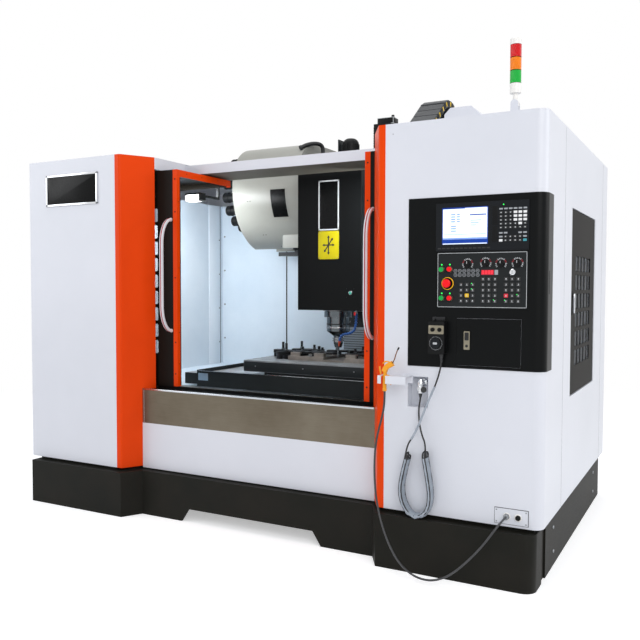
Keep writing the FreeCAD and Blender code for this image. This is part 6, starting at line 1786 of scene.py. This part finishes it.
@dataclass
class AirLine(Assembly):
    """The air hose from the port to the gun that hangs in the hook plate."""

    radius: float = 5
    gun_at: Span = (2494, -78)
    port: Point = (3066, -30, 327)
    # The hose's points on its way down and over to the port, from the gun's X and Y.
    run: tuple[Point, ...] = (
        (0, 0, 868), (0, 0, 806), (-16, 6, 738), (-40, 13, 664), (-56, 18, 584), (-60, 18, 504),
        (-56, 14, 424), (-44, 6, 344), (-20, -8, 266), (14, -26, 192), (58, -46, 124), (112, -62, 66),
        (180, -72, 28), (256, -74, 20), (324, -72, 44), (380, -68, 86), (432, -66, 138), (480, -66, 194))

    def build(self) -> None:
        """Dress the hook plate and make the gun and its hose."""
        self.dress("hook_bracket", WHITE_POWDER, 1)
        self.hose(self.gun())

    def route(self) -> list[Point]:
        """The hose's route from the gun's grip, down over the base's front and up to the port.

        Returns:
            Points of the route.
        """
        (x, y), (px, py, pz) = self.gun_at, self.port
        return [*((x + u, y + v, z) for u, v, z in self.run), (px - 54, y - 66, 244),
                (px - 28, y - 62, 284), (px - 10, y - 46, 312), (px, y - 10, pz), (px, py, pz)]

    def hose(self, gun: bpy.types.Object) -> None:
        """The rubber air hose, one smooth line from the gun to the port.

        Args:
            gun: The gun; not used.
        """
        hose = self.line("air_hose_line", self.route(), self.radius, HOSE_RUBBER)
        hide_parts("air_hose")
        length = measured(centreline(hose))
        LOG.info("air hose measures %.0f mm", length)

    def bar(self, form: Form, path: Iterable[Span], section: list[Span], keep: Point = (0, 1, 0)) -> Form:
        """Sweep a section along a path in the gun's plane.

        Args:
            form: The form that takes it.
            path: The path's points: X from the gun's middle, and Z.
            section: The outline of the bar.
            keep: A direction that the section keeps.

        Returns:
            The form.
        """
        x, y = self.gun_at
        return form.sweep([(x + u, y, z) for u, z in path], section, keep)

    def gun(self) -> bpy.types.Object:
        """The amber air gun: tapered grip, body, hook, guard, nut and bent nozzle.

        Returns:
            The dressed piece.
        """
        x, y = self.gun_at
        body, bar = Form(), self.bar
        bar(body, ((0, 884), (0, 905), (1, 930), (2, 955), (5, 975)),
            rounded((-8, 8), (-8.5, 8.5), 5, 4), RIGHT)
        bar(body, ((-2, 962), (4, 977), (16, 990), (34, 999), (40, 1003)),
            rounded((-11, 11), (-13, 13), 6, 4))
        body.turned((x, y, 868.5), UP, [(8, 0), (10, 2), (10, 14), (8.6, 17)], 28)
        bar(body, ((4, 948), (22, 944), (30, 930), (34, 912), (31, 900)),
            rounded((-3.5, 3.5), (-2.5, 2.5), 1.6, 3))
        bar(body, ((-10, 1000), (4, 1011), (20, 1010), (30, 1002)), rounded((-4.5, 4.5), (-3, 3), 2, 3))
        gun = self.fit("air_gun_body", body, AMBER_NYLON, sharp=50, replaces=["air_gun"])
        inlet = Form().turned((x, y, 868), UP, [(5.4, 0), (9, 0.2), (9, 6), (8, 8)], 6)
        self.fit("air_gun_inlet", inlet, ZINC_SCREW)
        nozzle = bar(Form(), ((30, 996), (42, 1008), (50, 1024), (56, 1044), (64, 1066), (70, 1076)),
                     circle(2.6, 12))
        self.fit("air_gun_nozzle", nozzle, COPPER_TUBE, sharp=60)
        tip = bar(Form(), ((65.5, 1068.5), (70, 1076), (73, 1079)), circle(4, 14))
        self.fit("air_gun_tip", tip, BLACK_RUBBER, sharp=60)
        lever = bar(Form(), ((-26, 986), (-25, 972), (-21, 958), (-19, 950)),
                    rounded((-6, 6), (-2.6, 2.6), 1.6, 3))
        self.fit("air_gun_lever", lever, AMBER_NYLON, "trigger", 50, ["gun_trigger"])
        return gun


@dataclass
class SignalTower(Assembly):
    """The folding signal tower: disc joint, pole, housing, three lenses and cap."""

    at: Point = (3060, 80, 2195)
    lens_bottom: float = 2288
    lens_height: float = 58
    lens_ribs: int = 12
    body: str = "signal_tower"

    def build(self) -> None:
        """Make the tower's stack, replacing its plain solid."""
        x, y, z = self.at
        base = Form().turned((x, y - 12.5, z), BACK, [
            (0, 0.2), (15, 0.2), (17, 2), (17, 23), (15, 24.8), (0, 24.8)])
        base.turned((x, y, z), UP, [(11, 5), (11, 44), (13, 46), (25.2, 47), (25.3, 52), (25.3, 90)], 48)
        top = self.lens_bottom + 3 * self.lens_height
        base.turned((x, y, top), UP, [(25.3, -3), (25.3, 22), (22, 25.8), (0, 26)], 48)
        self.fit("tower_housing", base, LAMP_WHITE, replaces=["tower_light"])
        bolt = Form().turned((x, y - 12.5, z), BACK, [(0, 0), (6, 0), (6, 25), (0, 25)], 24)
        self.fit("tower_hinge_bolt", bolt, ZINC_SCREW)
        # Grey rings round the hinge bolt and at the disc's edge: painted shade in the gaps.
        gap = Form().turned((x, y - 12.4, z), FRONT, [(6.2, 0), (6.2, 0.4), (8.4, 0.4), (8.4, 0)], 32)
        gap.turned((x, y - 12, z), FRONT, [(15.4, -1), (16.9, -1), (16.9, 0.2), (15.4, 0.2)])
        self.fit("tower_hinge_gap", gap, GREY_KEY_AND_GAP_SHADE)
        self.lenses()

    def lenses(self) -> None:
        """The three ribbed lenses and the black rings between them."""
        (x, y, _), tall, joints = self.at, self.lens_height, Form()
        ribs = [3 + i * (tall - 7) / self.lens_ribs for i in range(self.lens_ribs)]
        profile = [(23.5, 0), (25.4, 1), *(spot for h in ribs for spot in ((25.4, h), (24.7, h + 1.6))),
                   (25.4, tall - 3.5), (23.5, tall - 2)]
        lenses = (("green", LENS_GREEN), ("amber", LENS_AMBER), ("red", LENS_RED))
        for number, (name, finish) in enumerate(lenses):
            lens = Form().turned((x, y, self.lens_bottom + number * tall - 1.5), UP, profile, 48)
            self.fit("tower_lens_" + name, lens, finish, sharp=20)
        for number in range(4):
            joints.turned((x, y, self.lens_bottom + number * tall - 2.6), UP,
                          [(24, -1.2), (24.3, 0), (24.3, 2), (24, 3)])
        self.fit("tower_joint_rings", joints, BLACK_ABS)


@dataclass
class SideDoor(Assembly):
    """The windowed access door in the right side with its lock."""

    lock_edge: float = 0.8

    def build(self) -> None:
        """Dress the door, its glass and its lock lever, and add the lock's cylinder."""
        self.dress("side_door", SIDE_BLACK)
        self.dress("side_door_glass", SIDE_PANE)
        self.dress("side_door_lock", CHROME, self.lock_edge)
        low, high = machine_box("side_door_lock")
        cylinder = Form().turned((high.x - 1, (low.y + high.y) / 2, low.z + 22), RIGHT,
                                 [(9, 0), (9, 0.6), (7.5, 0.9), (0, 0.9)], 28)
        self.fit("side_lock_cylinder", cylinder, ZINC_SCREW, "side_lock_lever")


@dataclass
class Studio:
    """The plain floor, backdrop, lamps and the camera at the photograph's angle."""

    camera_at: Point = (3916.65, -3380.93, 1356.42)
    yaw: float = 28.24
    pitch: float = -2.38
    roll: float = 0.13
    focal_px: float = 753.71
    frame_px: float = 640
    floor_half: float = 30

    def build(self) -> None:
        """Set the world, floor, lamps and camera."""
        scene = bpy.context.scene
        scene.view_settings.view_transform = "Standard"
        self.world(scene)
        self.floor()
        self.lamps()
        self.camera(scene)

    def world(self, scene: bpy.types.Scene) -> None:
        """A white surround to look at, and a softer one to light the machine.

        Args:
            scene: The scene to light.
        """
        world = bpy.data.worlds.new("studio_surround")
        scene.world = world
        world.use_nodes = True
        tree = world.node_tree
        tree.nodes.clear()
        seen = self.seen(tree)
        soft = add_node(tree, "ShaderNodeBackground", {"Color": (0.93, 0.95, 1.0, 1.0), "Strength": 0.62})
        white = add_node(tree, "ShaderNodeBackground", {"Color": (1.0, 1.0, 1.0, 1.0), "Strength": 1.0})
        mix = add_node(tree, "ShaderNodeMixShader", None,
                       {0: seen, 1: soft.outputs["Background"], 2: white.outputs["Background"]})
        add_node(tree, "ShaderNodeOutputWorld", None, {"Surface": mix.outputs["Shader"]})

    @staticmethod
    def seen(tree: bpy.types.NodeTree) -> bpy.types.NodeSocket:
        """A socket that is 1 where the surround is looked at, mirrored or seen through glass.

        Args:
            tree: The node tree to add it to.

        Returns:
            The socket.
        """
        path = add_node(tree, "ShaderNodeLightPath")
        first = add_node(tree, "ShaderNodeMath", {"operation": "MAXIMUM"},
                         {0: path.outputs["Is Camera Ray"], 1: path.outputs["Is Transmission Ray"]})
        both = add_node(tree, "ShaderNodeMath", {"operation": "MAXIMUM"},
                        {0: first.outputs["Value"], 1: path.outputs["Is Glossy Ray"]})
        return both.outputs["Value"]

    def floor(self) -> None:
        """The pale floor, which shows white to the camera but keeps the machine's shadow."""
        mesh = bpy.data.meshes.new("studio_floor")
        size = self.floor_half
        mesh.from_pydata([(-size, -size, 0), (size, -size, 0), (size, size, 0), (-size, size, 0)], [],
                         [(0, 1, 2, 3)])
        floor = bpy.data.objects.new("studio_floor", mesh)
        bpy.context.scene.collection.objects.link(floor)
        material = bpy.data.materials.new("pale_studio_floor")
        material.use_nodes = True
        tree = material.node_tree
        tree.nodes.clear()
        paint = add_node(tree, "ShaderNodeBsdfDiffuse", {"Color": (0.86, 0.86, 0.86, 1.0)})
        lift = add_node(tree, "ShaderNodeEmission", {"Color": (1, 1, 1, 1), "Strength": 0.42})
        near = add_node(tree, "ShaderNodeAddShader", None,
                        {0: paint.outputs["BSDF"], 1: lift.outputs["Emission"]})
        white = add_node(tree, "ShaderNodeEmission", {"Color": (1, 1, 1, 1), "Strength": 1.0})
        where = add_node(tree, "ShaderNodeTexCoord").outputs["Object"]
        away = add_node(tree, "ShaderNodeVectorMath", {"operation": "LENGTH"}, {0: where})
        share = add_node(tree, "ShaderNodeMapRange", {"From Min": 2.6, "From Max": 6.5},
                         {"Value": away.outputs["Value"]})
        shown = add_node(tree, "ShaderNodeMixShader", None,
                         {0: share.outputs["Result"], 1: near.outputs["Shader"],
                          2: white.outputs["Emission"]})
        mix = add_node(tree, "ShaderNodeMixShader", None,
                       {0: self.seen(tree), 1: paint.outputs["BSDF"], 2: shown.outputs["Shader"]})
        add_node(tree, "ShaderNodeOutputMaterial", None, {"Surface": mix.outputs["Shader"]})
        mesh.materials.append(material)

    def lamps(self) -> None:
        """A key from the front right, fills from the left, right and above, and two work lights."""
        inside = {spot: tuple(in_frame(spot)) for spot in (
            (720.0, 560.0, 1890.0), (760.0, 1500.0, 1050.0), (2150.0, 640.0, 1850.0),
            (1500.0, 1500.0, 1000.0))}
        left, left_to, right, right_to = inside.values()
        for name, at, to, size, power, tint in (
                ("key", (5.2, -6.4, 4.6), (0.3, -0.4, 1.0), 4.5, 238.0, (1.0, 0.99, 0.98)),
                ("fill", (-6.5, -5.0, 3.2), (-0.2, 0.0, 1.0), 4.0, 120.0, (0.95, 0.97, 1.0)),
                ("side", (7.5, 1.5, 3.6), (1.6, 0.4, 1.0), 3.5, 110.0, (1.0, 1.0, 1.0)),
                ("top", (0.0, -0.6, 7.0), (0.0, 0.0, 1.0), 5.0, 130.0, (1.0, 1.0, 1.0)),
                ("work", left, left_to, 0.35, 11.0, (0.93, 0.97, 1.0)),
                ("work_right", right, right_to, 0.35, 7.0, (0.95, 0.98, 1.0))):
            self.area(name, at, to, size, power, tint)

    def area(self, name: str, at: Point, to: Point, size: float, power: float,
             tint: Point) -> None:
        """Add a square area lamp.

        Args:
            name: Its name.
            at: Where it stands, in the model's frame.
            to: What it points at.
            size: Its width in metres.
            power: Its power in watts.
            tint: Its colour.
        """
        data = bpy.data.lights.new(name, "AREA")
        data.shape = "SQUARE"
        data.size = size
        data.energy = power
        data.color = tint
        lamp = bpy.data.objects.new(name, data)
        lamp.location = at
        lamp.rotation_euler = (Vector(to) - Vector(at)).to_track_quat("-Z", "Y").to_euler()
        bpy.context.scene.collection.objects.link(lamp)

    def camera(self, scene: bpy.types.Scene) -> None:
        """Set the camera where the photograph was taken.

        Args:
            scene: The scene that looks through it.
        """
        data = bpy.data.cameras.new("view")
        data.sensor_width = 36.0
        data.lens = self.focal_px / self.frame_px * data.sensor_width
        data.clip_end = 100.0
        camera = bpy.data.objects.new("view", data)
        turn = (Matrix.Rotation(math.radians(self.yaw), 4, "Z")
                @ Matrix.Rotation(math.radians(90 + self.pitch), 4, "X")
                @ Matrix.Rotation(math.radians(self.roll), 4, "Z"))
        camera.location = in_frame(self.camera_at)
        camera.rotation_euler = turn.to_euler()
        scene.collection.objects.link(camera)
        scene.camera = camera


def main() -> None:
    """Build the sub-assemblies in order."""
    logging.basicConfig(level=logging.INFO, format="%(message)s")
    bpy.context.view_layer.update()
    for part in (Studio(), HandUnit(), AirLine(), Enclosure(), SlidingDoors(), WorkArea(),
                 SpindleHead(), ToolChanger(), CableCarrier(), ControlPanel(), SignalTower(),
                 SideDoor()):
        part.build()
        LOG.info("%s done, %d pieces so far", type(part).__name__, Assembly.made)


if __name__ == "__main__":
    main()
